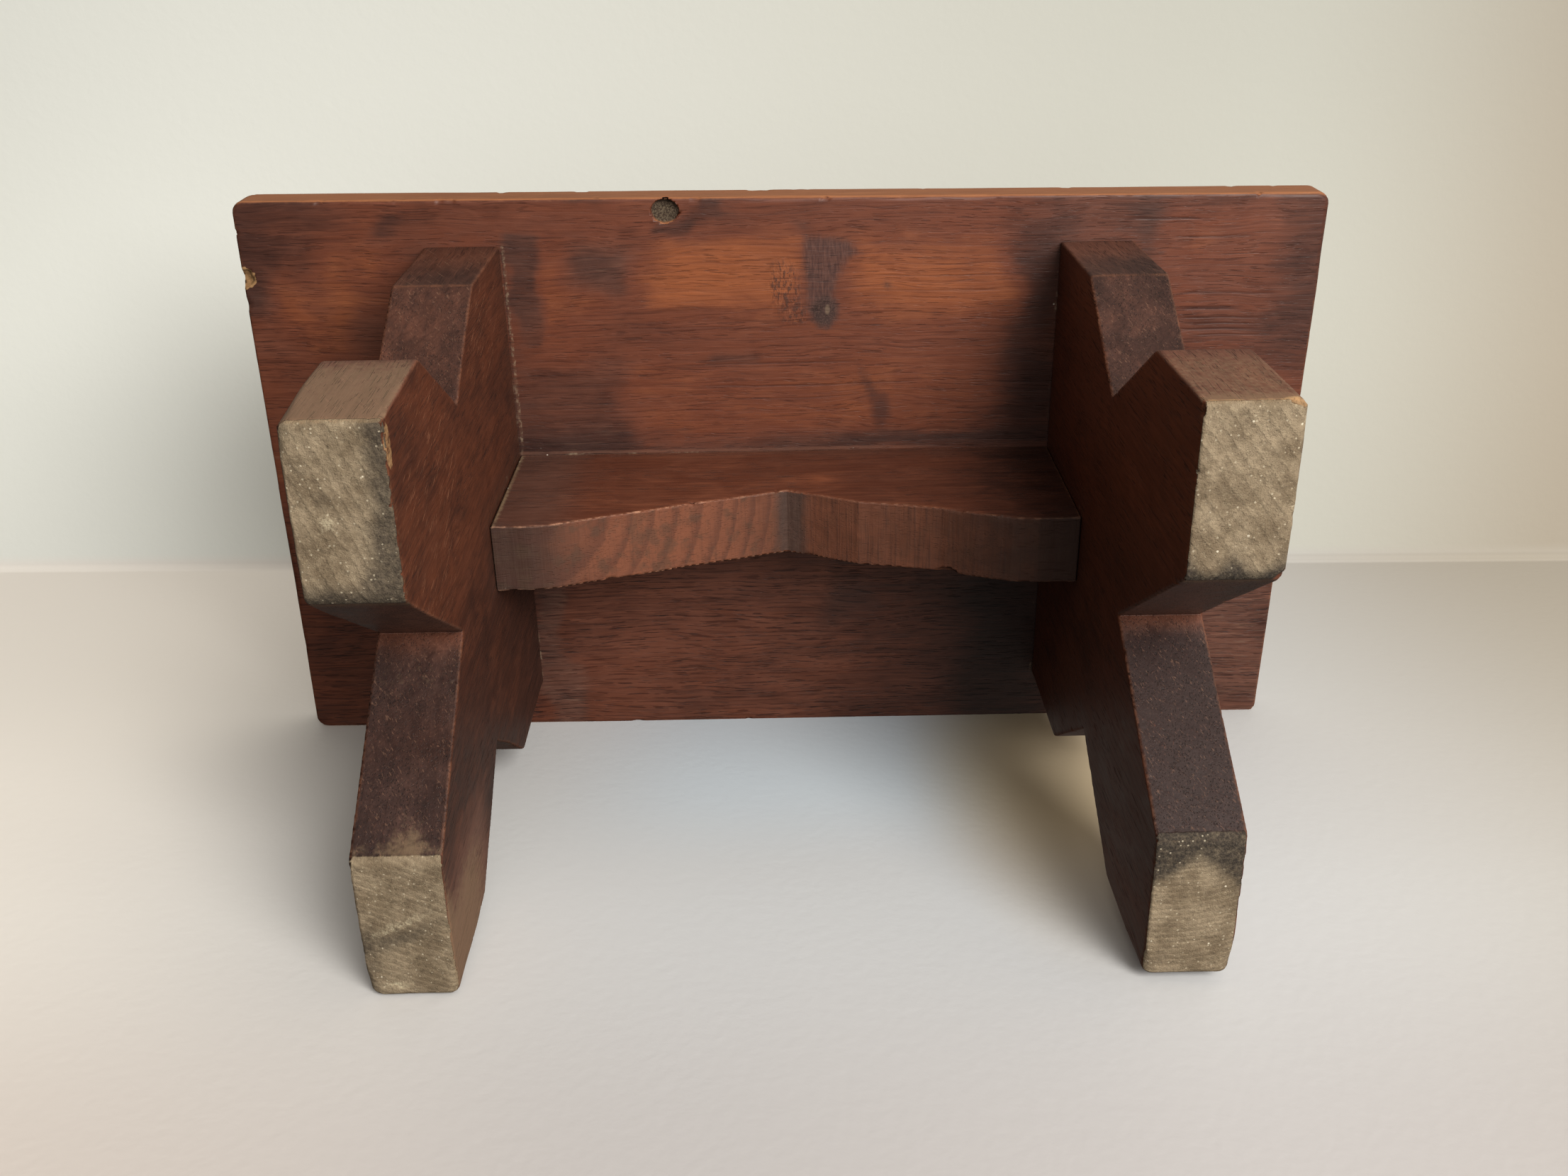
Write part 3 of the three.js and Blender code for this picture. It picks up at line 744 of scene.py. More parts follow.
def panel_tones(side, points, normals, placed, sole):
    """Tone, greyness and dust of a panel's faces."""
    x, y, z = placed.T
    is_left = side < 0
    tone, grey = np.full(len(points), -0.05), np.zeros(len(points))
    front_face = ramp(-normals[:, 1], 0.35, 0.8)
    back_face = ramp(normals[:, 1], 0.35, 0.8)
    # forward-looking faces of the rear feet, and the front ends of the front feet
    rear_foot = front_face * ramp(points[:, 1], -14, -7) * ramp(z, 60, 50)
    front_end = front_face * (points[:, 1] < -60) * ramp(z, 62, 30)
    upper = ramp(z, 60, 90)
    low_front = front_face * (1 - upper) * ramp(-points[:, 1], 38, 48)

    # painted sheen: the front (-y) faces are greyed; painted shade: their upper parts are darker
    grey = grey + 0.30 * front_face + 0.25 * rear_foot
    tone = tone - (0.36 if is_left else 0.52) * front_face * upper * ramp(z, 172, 140)
    tone = tone + (0.45 if is_left else 0.22) * low_front - (0.70 if is_left else 1.05) * rear_foot
    grey = grey + (0.05 if is_left else 0.42) * rear_foot
    clean_band = np.exp(-(((z - 31) / 9) ** 2))
    grey = grey - (0.30 if is_left else 0.05) * rear_foot * clean_band
    tone = tone - 0.22 * back_face * (z < 70)
    grey = grey + 0.4 * back_face * (z < 70)
    dust = ramp(z, 9, 1) * (1 - sole) * 0.45 + 0.35 * back_face * ramp(z, 20, 2)
    if is_left:
        inner_face = ramp(normals[:, 0], 0.5, 0.9)
        grey = grey + inner_face * 0.80 * ramp(y, 36, 66) * ramp(z, 90, 40)
        pale = 1.10 * ramp(y, 40, 72) * ramp(z, 70, 40)
        tone = tone - inner_face * (0.14 + 0.30 * ramp(y, -20, 30) - pale)
        dust = dust + 0.90 * front_end
        grey = grey + 0.5 * front_end
        dust = dust + rear_foot * (0.15 * ramp(z, 12, 2) + 0.34 * ramp(z, 34, 43))
        patch = np.exp(-(((x + 107) / 6) ** 2) - (((z - 8) / 8) ** 2))
        dust = dust + 0.50 * rear_foot * patch
        dust = dust + 0.95 * inner_face * ramp(y, 42, 72) * ramp(z, 75, 25)
    else:
        inner_face = ramp(-normals[:, 0], 0.5, 0.9)
        pale = 0.42 * ramp(y, -10, -55) * ramp(z, 110, 60)
        tone = tone + inner_face * (pale + 0.35 * ramp(y, 35, 70) * ramp(z, 80, 30))
        dust = dust + 0.62 * front_end - 0.5 * rear_foot * ramp(z, 12, 2)
    return dict(tone=tone, grey=grey, dust=dust)


def panel_marks(side):
    sole_marks = left_sole_marks if side < 0 else right_sole_marks

    def marks(points, normals, placed):
        x, y, z = points.T
        corner = np.min([np.hypot(y - at_y, z - at_z) for at_y, at_z in PANEL_WORN_CORNERS], axis=0)
        edge = np.minimum(arris_distance(*panel_parts(points, side)), corner)
        joint = UNDERSIDE - z
        inner = side * (x - side * PANEL_MID) < -PANEL_HALF_THICK + 1.2
        rail = np.maximum(np.abs(y - RAIL_MID) - RAIL_HALF_THICK, 116 - z)
        joint = np.where(inner, np.minimum(joint, np.abs(rail)), joint)
        sole = ramp(z, 3.4, 0.9) * ramp(-normals[:, 2], 0.25, 0.6)
        return all_marks(
            points, edge=edge, joint=joint, sole=sole,
            **sole_marks(points, normals, placed),
            **panel_tones(side, points, normals, placed, sole),
        )

    return marks


# Growth arcs across the rail's lower edge, round a centre in x and y: radius, phase
ARC_CENTRE = (-86, -14)
ARC_RADII = [0, 10.4, 27.2, 35.1, 42.1, 50, 58, 65, 70, 76, 90, 140, 220]
ARC_PHASES = [-1, 0, 1, 2, 3, 4, 5, 6, 7, 8, 10.5, 21, 40]


def rail_marks(points, normals, _placed):
    x, y, z = points.T
    across = ramp(np.abs(y - RAIL_MID), RAIL_HALF_THICK + 0.1, RAIL_HALF_THICK - 0.5)
    sawn = ramp(-normals[:, 2], 0.5, 0.8) * across
    on_sawn = sawn > 0.5
    sawn_tone = 0.70 * np.exp(-(((x + 40) / 34) ** 2)) + 0.15 * np.exp(-(((x - 34) / 26) ** 2))
    # painted shade: the sawn edge is darker towards the right panel, which shades the rail's right
    # end
    sawn_tone = sawn_tone - 0.45 * ramp(x, 40, 84) - 0.9 * ramp(x, 84, 88)
    sawn_tone = sawn_tone - 0.75 * ramp(-x, 66, 90)
    # painted shade: the face is darker from x 46 towards the right panel
    face_tone = 0.18 - 0.28 * ramp(-x, 60, 92) - 0.62 * ramp(x, 46, 92)
    face_tone = face_tone + 0.35 * np.exp(-(((x - 12) / 9) ** 2) - (((z - 152) / 8) ** 2))
    arc_radius = np.hypot(x - ARC_CENTRE[0], y - ARC_CENTRE[1])
    return all_marks(
        points,
        edge=arris_distance(*rail_parts(points)),
        joint=np.minimum(UNDERSIDE - z, PANEL_INNER - np.abs(x)),
        stain=np.where(on_sawn, np.abs(x - 2.0) - 5.0, FAR),
        tone=np.where(on_sawn, sawn_tone, face_tone),
        sole=sawn,
        grey=np.where(on_sawn, 0.25 * ramp(-x, 60, 90), 0.45 * ramp(-x, 66, 84) + 0.1),
        rings=np.interp(arc_radius, ARC_RADII, ARC_PHASES),
    )


# ---------------------------------------------------------------- shader graphs
def srgb(*levels):
    """A linear colour from sRGB levels of 0 to 255."""
    def linear(level):
        level = level / 255
        return level / 12.92 if level <= 0.04045 else ((level + 0.055) / 1.055) ** 2.4
    return (*map(linear, levels), 1.0)


class Value:
    """A shader socket; arithmetic on it adds nodes to its graph."""

    def __init__(self, graph, socket):
        self.graph = graph
        self.socket = socket

    def __add__(self, other):
        return self.graph.math("ADD", self, other)

    def __radd__(self, other):
        return self.graph.math("ADD", other, self)

    def __sub__(self, other):
        return self.graph.math("SUBTRACT", self, other)

    def __rsub__(self, other):
        return self.graph.math("SUBTRACT", other, self)

    def __mul__(self, other):
        return self.graph.math("MULTIPLY", self, other)

    def __truediv__(self, other):
        return self.graph.math("DIVIDE", self, other)

    def __abs__(self):
        return self.graph.math("ABSOLUTE", self)

    def fraction(self):
        return self.graph.math("FRACT", self)

    def clamp(self, low, high):
        return self.graph.math("MINIMUM", self.graph.math("MAXIMUM", self, low), high)

    def ramp(self, start, end, low=0.0, high=1.0, curve="SMOOTHSTEP"):
        """Goes from low at start to high at end; start may be the larger."""
        limits = {"From Min": start, "From Max": end, "To Min": low, "To Max": high}
        node = self.graph.add(
            "ShaderNodeMapRange", {"Value": self, **limits}, interpolation_type=curve)
        return Value(self.graph, node.outputs["Result"])

    def tooth(self, start, full, fall):
        """A repeating phase made into a slow rise and a quick fall."""
        return self.ramp(start, full) * self.ramp(1.0, fall)

    def ragged(self, noise_value, amount):
        """A distance with its border roughened by noise."""
        return self + (noise_value - 0.5) * amount

    def split(self):
        node = self.graph.add("ShaderNodeSeparateXYZ", {0: self})
        return [Value(self.graph, socket) for socket in node.outputs]

    def paint(self, colour, by):
        """This colour with another laid over it."""
        return self.graph.mix(by, self, colour)

    def shade(self, tint, by):
        """This colour multiplied by a linear red, green and blue."""
        return self.graph.blend("MULTIPLY", by, self, (*tint, 1.0))


class Graph:
    """Builds a node tree. A material keeps its colour, roughness and height here."""

    def __init__(self, tree):
        self.tree = tree
        self.marks = {}
        tree.nodes.clear()

    def add(self, kind, inputs, **settings):
        node = self.tree.nodes.new(kind)
        for key, setting in settings.items():
            setattr(node, key, setting)
        for key, value in inputs.items():
            if isinstance(value, Value):
                self.tree.links.new(value.socket, node.inputs[key])
            else:
                node.inputs[key].default_value = value
        return node

    def value(self, output, kind, inputs, **settings):
        """Adds a node and returns one of its outputs, by name or number."""
        return Value(self, self.add(kind, inputs, **settings).outputs[output])

    def math(self, operation, *values):
        return self.value(0, "ShaderNodeMath", dict(enumerate(values)), operation=operation)

    def vector(self, operation, *values, output=0):
        values = dict(enumerate(values))
        return self.value(output, "ShaderNodeVectorMath", values, operation=operation)

    def combine(self, *parts):
        return self.value(0, "ShaderNodeCombineXYZ", dict(enumerate(parts)))

    def length(self, *parts):
        return self.vector("LENGTH", self.combine(*parts), output="Value")

    def coordinates(self, output="Object"):
        return self.value(output, "ShaderNodeTexCoord", {})

    def millimetres(self):
        return self.vector("MULTIPLY", self.coordinates(), (1000.0, 1000.0, 1000.0))

    def normal_parts(self):
        return self.value("Normal", "ShaderNodeNewGeometry", {}).split()

    def noise(self, point, detail=2.0, rough=0.5, warp=0.0, scale=1.0):
        if isinstance(point, tuple):
            point = self.combine(*point)
        return self.value("Fac", "ShaderNodeTexNoise", {
            "Vector": point, "Scale": scale, "Detail": detail,
            "Roughness": rough, "Distortion": warp,
        })

    def cells(self, point, scale, channel):
        """Distance to the nearest of scattered points, and one random channel for each."""
        node = self.add("ShaderNodeTexVoronoi", {"Vector": point, "Scale": scale})
        colour = Value(self, node.outputs["Color"])
        return Value(self, node.outputs["Distance"]), colour.split()[channel]

    def mark(self, name):
        """A mesh attribute, read by one shared node."""
        if name not in self.marks:
            self.marks[name] = self.value("Fac", "ShaderNodeAttribute", {}, attribute_name=name)
        return self.marks[name]

    def blend(self, mode, by, under, over):
        colours = {"Factor": by, 6: under, 7: over}  # 6 and 7 are the colour sockets A and B
        return self.value(2, "ShaderNodeMix", colours, data_type="RGBA", blend_type=mode)

    def mix(self, by, under, over):
        """Mixes two colours; a tuple is sRGB levels."""
        under, over = (srgb(*c) if isinstance(c, tuple) else c for c in (under, over))
        return self.blend("MIX", by, under, over)

    def paint(self, colour, by):
        self.colour = self.colour.paint(colour, by)

    def shade(self, tint, by):
        self.colour = self.colour.shade(tint, by)

    def bump(self, height, distance):
        return self.value(0, "ShaderNodeBump", {"Height": height, "Distance": distance})

    def finish(self, bump_distance=0.001, **gloss):
        """Adds the surface shader; gloss holds its other inputs."""
        shader = self.value(0, "ShaderNodeBsdfPrincipled", {
            "Base Color": self.colour, "Roughness": self.rough,
            "Normal": self.bump(self.height, bump_distance), **gloss,
        })
        self.add("ShaderNodeOutputMaterial", {0: shader})


def wood_gloss(specular):
    return {"Specular IOR Level": specular, "Coat Roughness": 0.3}


def material_graph(name):
    material = bpy.data.materials.new(name)
    material.use_nodes = True
    return material, Graph(material.node_tree)


# ---------------------------------------------------------------- stained wood
# upright: grain along z rather than x. palette: darkest to brightest, by tone.
# pith: the centre line of the growth rings, across the grain. cloud, fine_cloud: how far
# broad and small clouds move the tone. thin, ring: darkness of thin lines and of rings.
# worn: paleness of the arrises. sole_dark: strength of the dark patches on the sole.
TOP_LOOK = dict(
    upright=False, palette=((40, 21, 16), (68, 38, 29), (102, 55, 37), (137, 77, 44)),
    pith=(-260.0, 60.0), ring_width=3.0,
    cloud=0.90, fine_cloud=0.60, thin=0.42, ring=0.10, worn=0.55,
)
LEFT_LOOK = dict(
    upright=True, palette=((40, 25, 21), (62, 37, 29), (96, 53, 35), (124, 68, 42)),
    pith=(30.0, -155.0), ring_width=2.6,
    cloud=0.8, fine_cloud=0.9, thin=0.32, ring=0.08, worn=0.38, sole_dark=0.78,
)
RIGHT_LOOK = dict(LEFT_LOOK, pith=(-150.0, 175.0), ring_width=2.7, ring=0.10, sole_dark=0.94)
RAIL_LOOK = dict(
    upright=False, palette=((38, 23, 20), (60, 35, 27), (96, 52, 35), (140, 80, 52)),
    pith=(-14.0, 78.0), ring_width=2.9,
    cloud=0.8, fine_cloud=0.9, thin=0.32, ring=0.10, worn=0.38,
)
KNOT = (36.2, -26.4)  # the small knot in the underside: x, y

# Single grain lines of the underside: y, x from, x to, half width, depth
LINES = [
    (-95.2, 119, 150, 0.45, 0.60), (-88.7, 136, 170, 0.40, 0.55), (-68.0, 139, 181, 0.40, 0.50),
    (-62.2, 139, 167, 0.60, 0.80), (-58.8, 140, 176, 0.35, 0.60), (-56.6, 142, 175, 0.30, 0.55),
    (-54.6, 140, 174, 0.35, 0.60), (-52.4, 145, 178, 0.30, 0.55), (-79.5, 100, 132, 0.35, 0.35),
    (-44.6, -40, 30, 0.35, 0.40), (-36.4, -30, 52, 0.30, 0.40), (-31.5, -20, 30, 0.30, 0.35),
    (-70.5, 28, 80, 0.30, 0.30), (-76.2, 30, 84, 0.30, 0.30), (-91.5, -170, -146, 0.4, 0.4),
    (-58.4, -60, -10, 0.30, 0.30),
]


class Wood(Graph):
    """Old stained hardwood, with the grain coordinates and noises its details share."""

    def __init__(self, tree, look):
        super().__init__(tree)
        self.look = look
        self.is_top = look is TOP_LOOK
        self.point = self.millimetres()
        self.x, self.y, self.z = self.point.split()
        self.set_grain()
        self.set_noises()
        self.set_colour()
        self.rough = 0.46 + (self.fine_cloud - 0.5) * 0.25 + self.pores * 0.2
        self.height = self.fibre * 0.05 + self.pores * -0.12
        self.height = self.height + self.ring * -0.02 + self.grit * 0.02

    def straight(self, along, across, *noise_settings):
        """Noise stretched along the board; the rates are in features per mm."""
        side, depth = self.straight_across
        return self.noise((self.along * along, side * across, depth * across), *noise_settings)

    def bent(self, along, across, *noise_settings):
        """Noise that follows the bent grain."""
        point = (self.along * along, self.side * across, self.depth * across)
        return self.noise(point, *noise_settings)

    def bands(self, side_rate, depth_rate, wander):
        """A repeating phase across the bent grain."""
        return (self.side * side_rate + (self.depth * depth_rate + wander)).fraction()

    def set_grain(self):
        if self.look["upright"]:
            self.along, side, depth = self.z, self.y, self.x
        else:
            self.along, side, depth = self.x, self.y, self.z
        self.straight_across = side, depth
        slow = self.straight(0.008, 0.020)
        quick = self.straight(0.040, 0.05, 1.0)
        shift = (slow - 0.5) * 8.0 + (quick - 0.5) * 1.8
        if self.is_top:  # the grain sweeps round the small knot
            off_x, off_y = self.x - KNOT[0], self.y - KNOT[1]
            squared = off_x * off_x * 0.0035 + off_y * off_y * 0.012
            near = self.math("EXPONENT", squared * -1.0)
            shift = shift + near * (self.math("TANH", off_y * 0.25) * -3.0)
        self.side = side + shift
        self.depth = depth + shift * 0.6

    def set_noises(self):
        pith_side, pith_depth = self.look["pith"]
        radius = self.length(self.side - pith_side, self.depth - pith_depth, 0.0)
        wander = self.straight(0.01, 0.05) * 1.6
        phase = (radius / self.look["ring_width"] + wander).fraction()
        self.ring = phase.tooth(0.0, 0.82, 0.88)
        self.fibre = self.bent(0.055, 1.9, 3.0, 0.6)
        self.streaks = self.bent(0.020, 0.55, 2.0, 0.55)
        pores = self.bent(0.13, 2.3, 1.0, 0.4)
        self.pores = pores.ramp(0.60, 0.70) * self.bent(0.02, 0.12).ramp(0.30, 0.58)
        self.grit = self.noise(self.point, detail=3.0, rough=0.7, scale=1.6)
        self.cloud = self.straight(0.020, 0.045, 3.0, 0.6, 0.5)
        self.fine_cloud = self.straight(0.06, 0.12, 3.0, 0.6, 0.8)
        self.ragged_noise = self.noise(self.point, detail=3.0, rough=0.6, scale=0.55)
        self.patchy = self.noise(self.point, detail=3.0, rough=0.6, scale=0.16)
        self.speck, self.speck_pick = self.cells(self.point, 0.42, channel=0)
        self.worn_edge = self.mark("edge").ragged(self.ragged_noise, 1.4)

    def set_colour(self):
        look = self.look
        tone = self.math("MULTIPLY_ADD", self.cloud - 0.5, look["cloud"], self.mark("tone"))
        tone = tone + (self.fine_cloud - 0.5) * look["fine_cloud"]
        tone = tone + (self.streaks - 0.5) * 0.45
        darkest, dark, middle, bright = look["palette"]
        self.colour = self.mix(tone.ramp(-1.1, -0.45), darkest, dark)
        self.paint(middle, tone.ramp(-0.60, 0.10))
        self.paint(bright, tone.ramp(0.05, 0.85))
        grey = (self.mark("grey") + (self.fine_cloud - 0.5) * 0.35).clamp(0.0, 0.85)
        grey_colour = self.mix(tone.ramp(-0.9, 0.3), (50, 37, 35), (106, 80, 70))
        self.paint(grey_colour, grey * 0.9)
        # fibres
        self.shade((0.34, 0.25, 0.23), (1.0 - self.fibre.ramp(0.28, 0.72)) * 0.30)
        self.paint((170, 104, 76), self.fibre.ramp(0.60, 0.82) * 0.16)
        # thin broken lines
        thin = self.bands(0.42, 0.30, self.straight(0.03, 0.16, 2.0, 0.6) * 2.6)
        thin = thin.tooth(0.62, 0.86, 0.88) * self.bent(0.045, 0.50, 2.0, 0.6).ramp(0.42, 0.60)
        self.shade((0.30, 0.20, 0.16), thin * look["thin"])
        # rows of short dark pores, stronger towards the back of the top
        row = self.bands(0.52, 0.35, self.straight(0.02, 0.25, 2.0, 0.6) * 2.0)
        row = row.tooth(0.55, 0.76, 0.82) * self.bent(0.12, 0.60, 2.0, 0.6).ramp(0.47, 0.56)
        row_dark = self.y.ramp(10.0, 30.0, low=0.24, high=0.66) if self.is_top else 0.20
        self.shade((0.30, 0.20, 0.18), row * row_dark)
        self.shade((0.28, 0.20, 0.19), self.ring * look["ring"])
        if self.is_top:
            pore_dark = self.y.ramp(10.0, 30.0, low=0.38, high=0.72)
        else:  # the same at every distance from a joint
            pore_dark = self.mark("joint").ramp(0, 1, low=0.5, high=0.5, curve="LINEAR")
        self.shade((0.16, 0.12, 0.12), self.pores * pore_dark)


def paint_grain_lines(wood):
    line = 0.0
    wave = wood.side + (wood.side - wood.y) * -0.35
    for line_y, x_from, x_to, half, depth in LINES:
        extent = wood.x.ramp(x_from, x_from + 8.0) * wood.x.ramp(x_to, x_to - 8.0)
        mask = abs(wave - line_y).ramp(half * 1.8, half * 0.4) * (extent * depth)
        line = wood.math("MAXIMUM", mask, line)
    line = line * wood.mark("under")
    wood.paint((52, 26, 20), line * wood.streaks.ramp(0.25, 0.5, low=0.6, high=1.0))
    wood.height += line * -0.12


def paint_stain(wood):
    """The dark stain with its drips, and the round spots beside it."""
    x, y, under, ragged = wood.x, wood.y, wood.mark("under"), wood.ragged_noise
    drip = wood.noise((x * 0.55, y * 0.10, 0.0))
    border = wood.mark("stain") + ((ragged - 0.5) * 1.8 + (drip - 0.5) * 2.2)
    stain = border.ramp(1.2, -2.6) * under
    streaks = wood.noise((x * 1.3, y * 0.20, 0.0), detail=3.0, rough=0.65, warp=0.4)
    wood.paint(wood.mix(streaks.ramp(0.35, 0.70), (58, 38, 35), (86, 58, 50)), stain * 0.86)
    wood.paint((40, 27, 25), stain * (wood.pores.ramp(0.1, 0.6) * 0.5))
    spot = wood.mark("spot").ragged(ragged, 2.2).ramp(1.2, -2.2) * under
    spot_colour = wood.mix(wood.grit.ramp(0.42, 0.66), (40, 28, 25), (72, 53, 47))
    wood.paint(spot_colour, spot * 0.78)
    fleck = wood.length((x - 16.5) * 1.1, (y - -64.3) * 0.55, 0.0).ramp(1.3, 0.6) * under
    wood.paint((128, 108, 88), fleck * 0.40)
    wood.rough += spot * 0.25


def paint_torn_grain(wood):
    x, y = wood.x, wood.y
    zone = wood.mark("rough").ragged(wood.patchy, 6.0).ramp(1.5, -2.5) * wood.mark("under")
    torn = wood.noise((x * 0.95, y * 0.42, wood.z), detail=3.0, rough=0.65, warp=0.5)
    wood.paint((66, 40, 31), zone * (torn.ramp(0.49, 0.60) * 0.85))
    wood.paint((158, 98, 66), zone * 0.25 * torn.ramp(0.44, 0.34))
    wood.height += zone * (torn * 0.2)


def paint_underside(wood):
    x, y, under = wood.x, wood.y, wood.mark("under")
    paint_grain_lines(wood)
    paint_stain(wood)
    paint_torn_grain(wood)
    knot = wood.mark("knot").ragged(wood.ragged_noise, 2.4).ramp(1.8, -2.0) * under
    wood.paint(wood.mix(wood.fibre, (44, 25, 22), (72, 42, 34)), knot * 0.78)
    # pale dots along the left panel's inner face
    dots = wood.noise((x * 0.7, y * 0.55, 0.0), rough=0.6)
    beside = abs(x + (97.3 + (wood.ragged_noise - 0.5) * 1.6))
    extent = y.ramp(-13.0, -17.0) * y.ramp(-90.5, -88.5)
    crumbs = beside.ramp(0.80, 0.20) * extent
    crumbs = crumbs * (dots.ramp(0.50, 0.60, low=0.12, high=1.0) * under)
    wood.paint((170, 150, 124), crumbs * 0.36)
    # a soft pale line in front of the rail
    beside = abs(y + (11.7 + (wood.patchy - 0.5) * 1.2))
    pale_line = beside.ramp(0.9, 0.2) * x.ramp(66.0, 40.0) * under
    wood.paint((160, 112, 90), pale_line * 0.18)
    # light strokes over the grey patches
    brush = wood.noise((x * 0.085, y * 0.75, 0.0)).ramp(0.56, 0.68)
    wood.paint((150, 120, 100), brush * wood.mark("grey").ramp(0.15, 0.5) * (under * 0.12))


def paint_wear(wood):
    """Paler arrises, and bare wood in the chips."""
    worn = wood.worn_edge.ramp(1.3, 0.1) * wood.patchy.ramp(0.34, 0.62)
    worn_colour = wood.mix(wood.grit, (150, 98, 68), (118, 74, 52))
    wood.paint(worn_colour, worn * wood.look["worn"])
    wood.rough += worn * 0.12
    if wood.is_top:  # its long edges have lost most of their stain
        _, normal_y, _ = wood.normal_parts()
        long_edge = abs(normal_y).ramp(0.45, 0.85)
        long_edge = long_edge * wood.cloud.ramp(0.2, 0.5, low=0.75, high=1.0)
        wood.paint(wood.mix(wood.fibre, (128, 78, 50), (178, 120, 80)), long_edge * 0.80)
    bare = wood.mark("bare").ragged(wood.ragged_noise, 0.55).ramp(0.42, 0.62)
    wood.paint(wood.mix(wood.bent(0.2, 1.4, 3.0), (112, 82, 54), (162, 126, 86)), bare)
    wood.rough += bare * 0.3


def paint_sole(wood):
    """Bare weathered end grain with rings, grit, and dark and pale patches."""
    point, patchy, ragged = wood.point, wood.patchy, wood.ragged_noise
    sole = wood.mark("sole").ragged(ragged, 0.5).ramp(0.35, 0.62)
    broad = wood.noise(point, detail=3.0, rough=0.6, scale=0.10).ramp(0.35, 0.65)
    base = wood.mix(broad, (113, 98, 78), (145, 129, 106))
    band = wood.mark("rings").ragged(patchy, 1.1).fraction().tooth(0.0, 0.7, 0.8)
    base = base.paint((86, 71, 55), band * patchy.ramp(0.30, 0.55) * 0.32)
    pits = wood.noise(point, detail=4.0, rough=0.75, scale=1.1)
    mottle = wood.noise(point, detail=3.0, rough=0.65, scale=0.35)
    base = base.paint((88, 77, 63), mottle.ramp(0.52, 0.72) * 0.30)
    base = base.paint((66, 54, 43), pits.ramp(0.56, 0.70) * 0.50)
    base = base.paint((172, 158, 132), pits.ramp(0.45, 0.33) * 0.34)
    pale = wood.mark("spot").ragged(ragged, 3.0).ramp(1.2, -1.2)
    base = base.paint((190, 178, 150), pale * pits.ramp(0.60, 0.42, low=0.05, high=0.55))
    dark = wood.mark("stain").ragged(patchy, 7.0).ramp(2.6, -4.2)
    dark = dark * mottle.ramp(0.25, 0.5, low=0.7, high=1.0)
    dark_colour = wood.mix(pits.ramp(0.35, 0.6), (78, 69, 58), (40, 35, 32))
    base = base.paint(dark_colour, dark * wood.look["sole_dark"])
    dot, pick = wood.cells(point, 0.85, channel=1)
    base = base.paint((196, 184, 160), dot.ramp(0.30, 0.16) * pick.ramp(0.76, 0.84) * 0.55)
    white = wood.speck.ramp(0.17, 0.09) * wood.speck_pick.ramp(0.90, 0.93)
    base = base.paint((222, 212, 190), white * 0.75)
    base = base.paint((84, 66, 48), wood.worn_edge.ramp(1.2, 0.2) * 0.35)  # a grubby border
    wood.paint(base, sole)
    wood.rough += sole * 0.42
    wood.height += sole * (pits * 0.55 + band * -0.10)


def paint_panel_faces(wood):
    """Dust above the soles, and pale scratches and ticks over the faces."""
    x, y, z = wood.x, wood.y, wood.z
    normal_x, normal_y, _ = wood.normal_parts()
    dust = wood.mark("dust").ragged(wood.ragged_noise, 0.9).ramp(0.35, 0.95) * 0.45
    wood.paint((132, 110, 84), dust)
    wood.rough += dust * 0.25
    scratch = wood.noise((z * 0.12, (y + z * 0.30) * 2.0, x * 0.3), rough=0.6)
    scratch = scratch.ramp(0.62, 0.70) * abs(normal_x).ramp(0.6, 0.9)
    scratch = scratch * wood.mark("rough").ramp(8.0, -6.0, low=0.10, high=1.0)
    wood.paint((176, 122, 92), scratch * 0.42)
    wood.height += scratch * -0.04
    tick = wood.noise(((x + z * 0.6) * 1.6, y, z * 0.12), rough=0.6)
    tick = tick.ramp(0.60, 0.72) * abs(normal_y).ramp(0.4, 0.8)
    wood.paint((150, 112, 90), tick * 0.22)


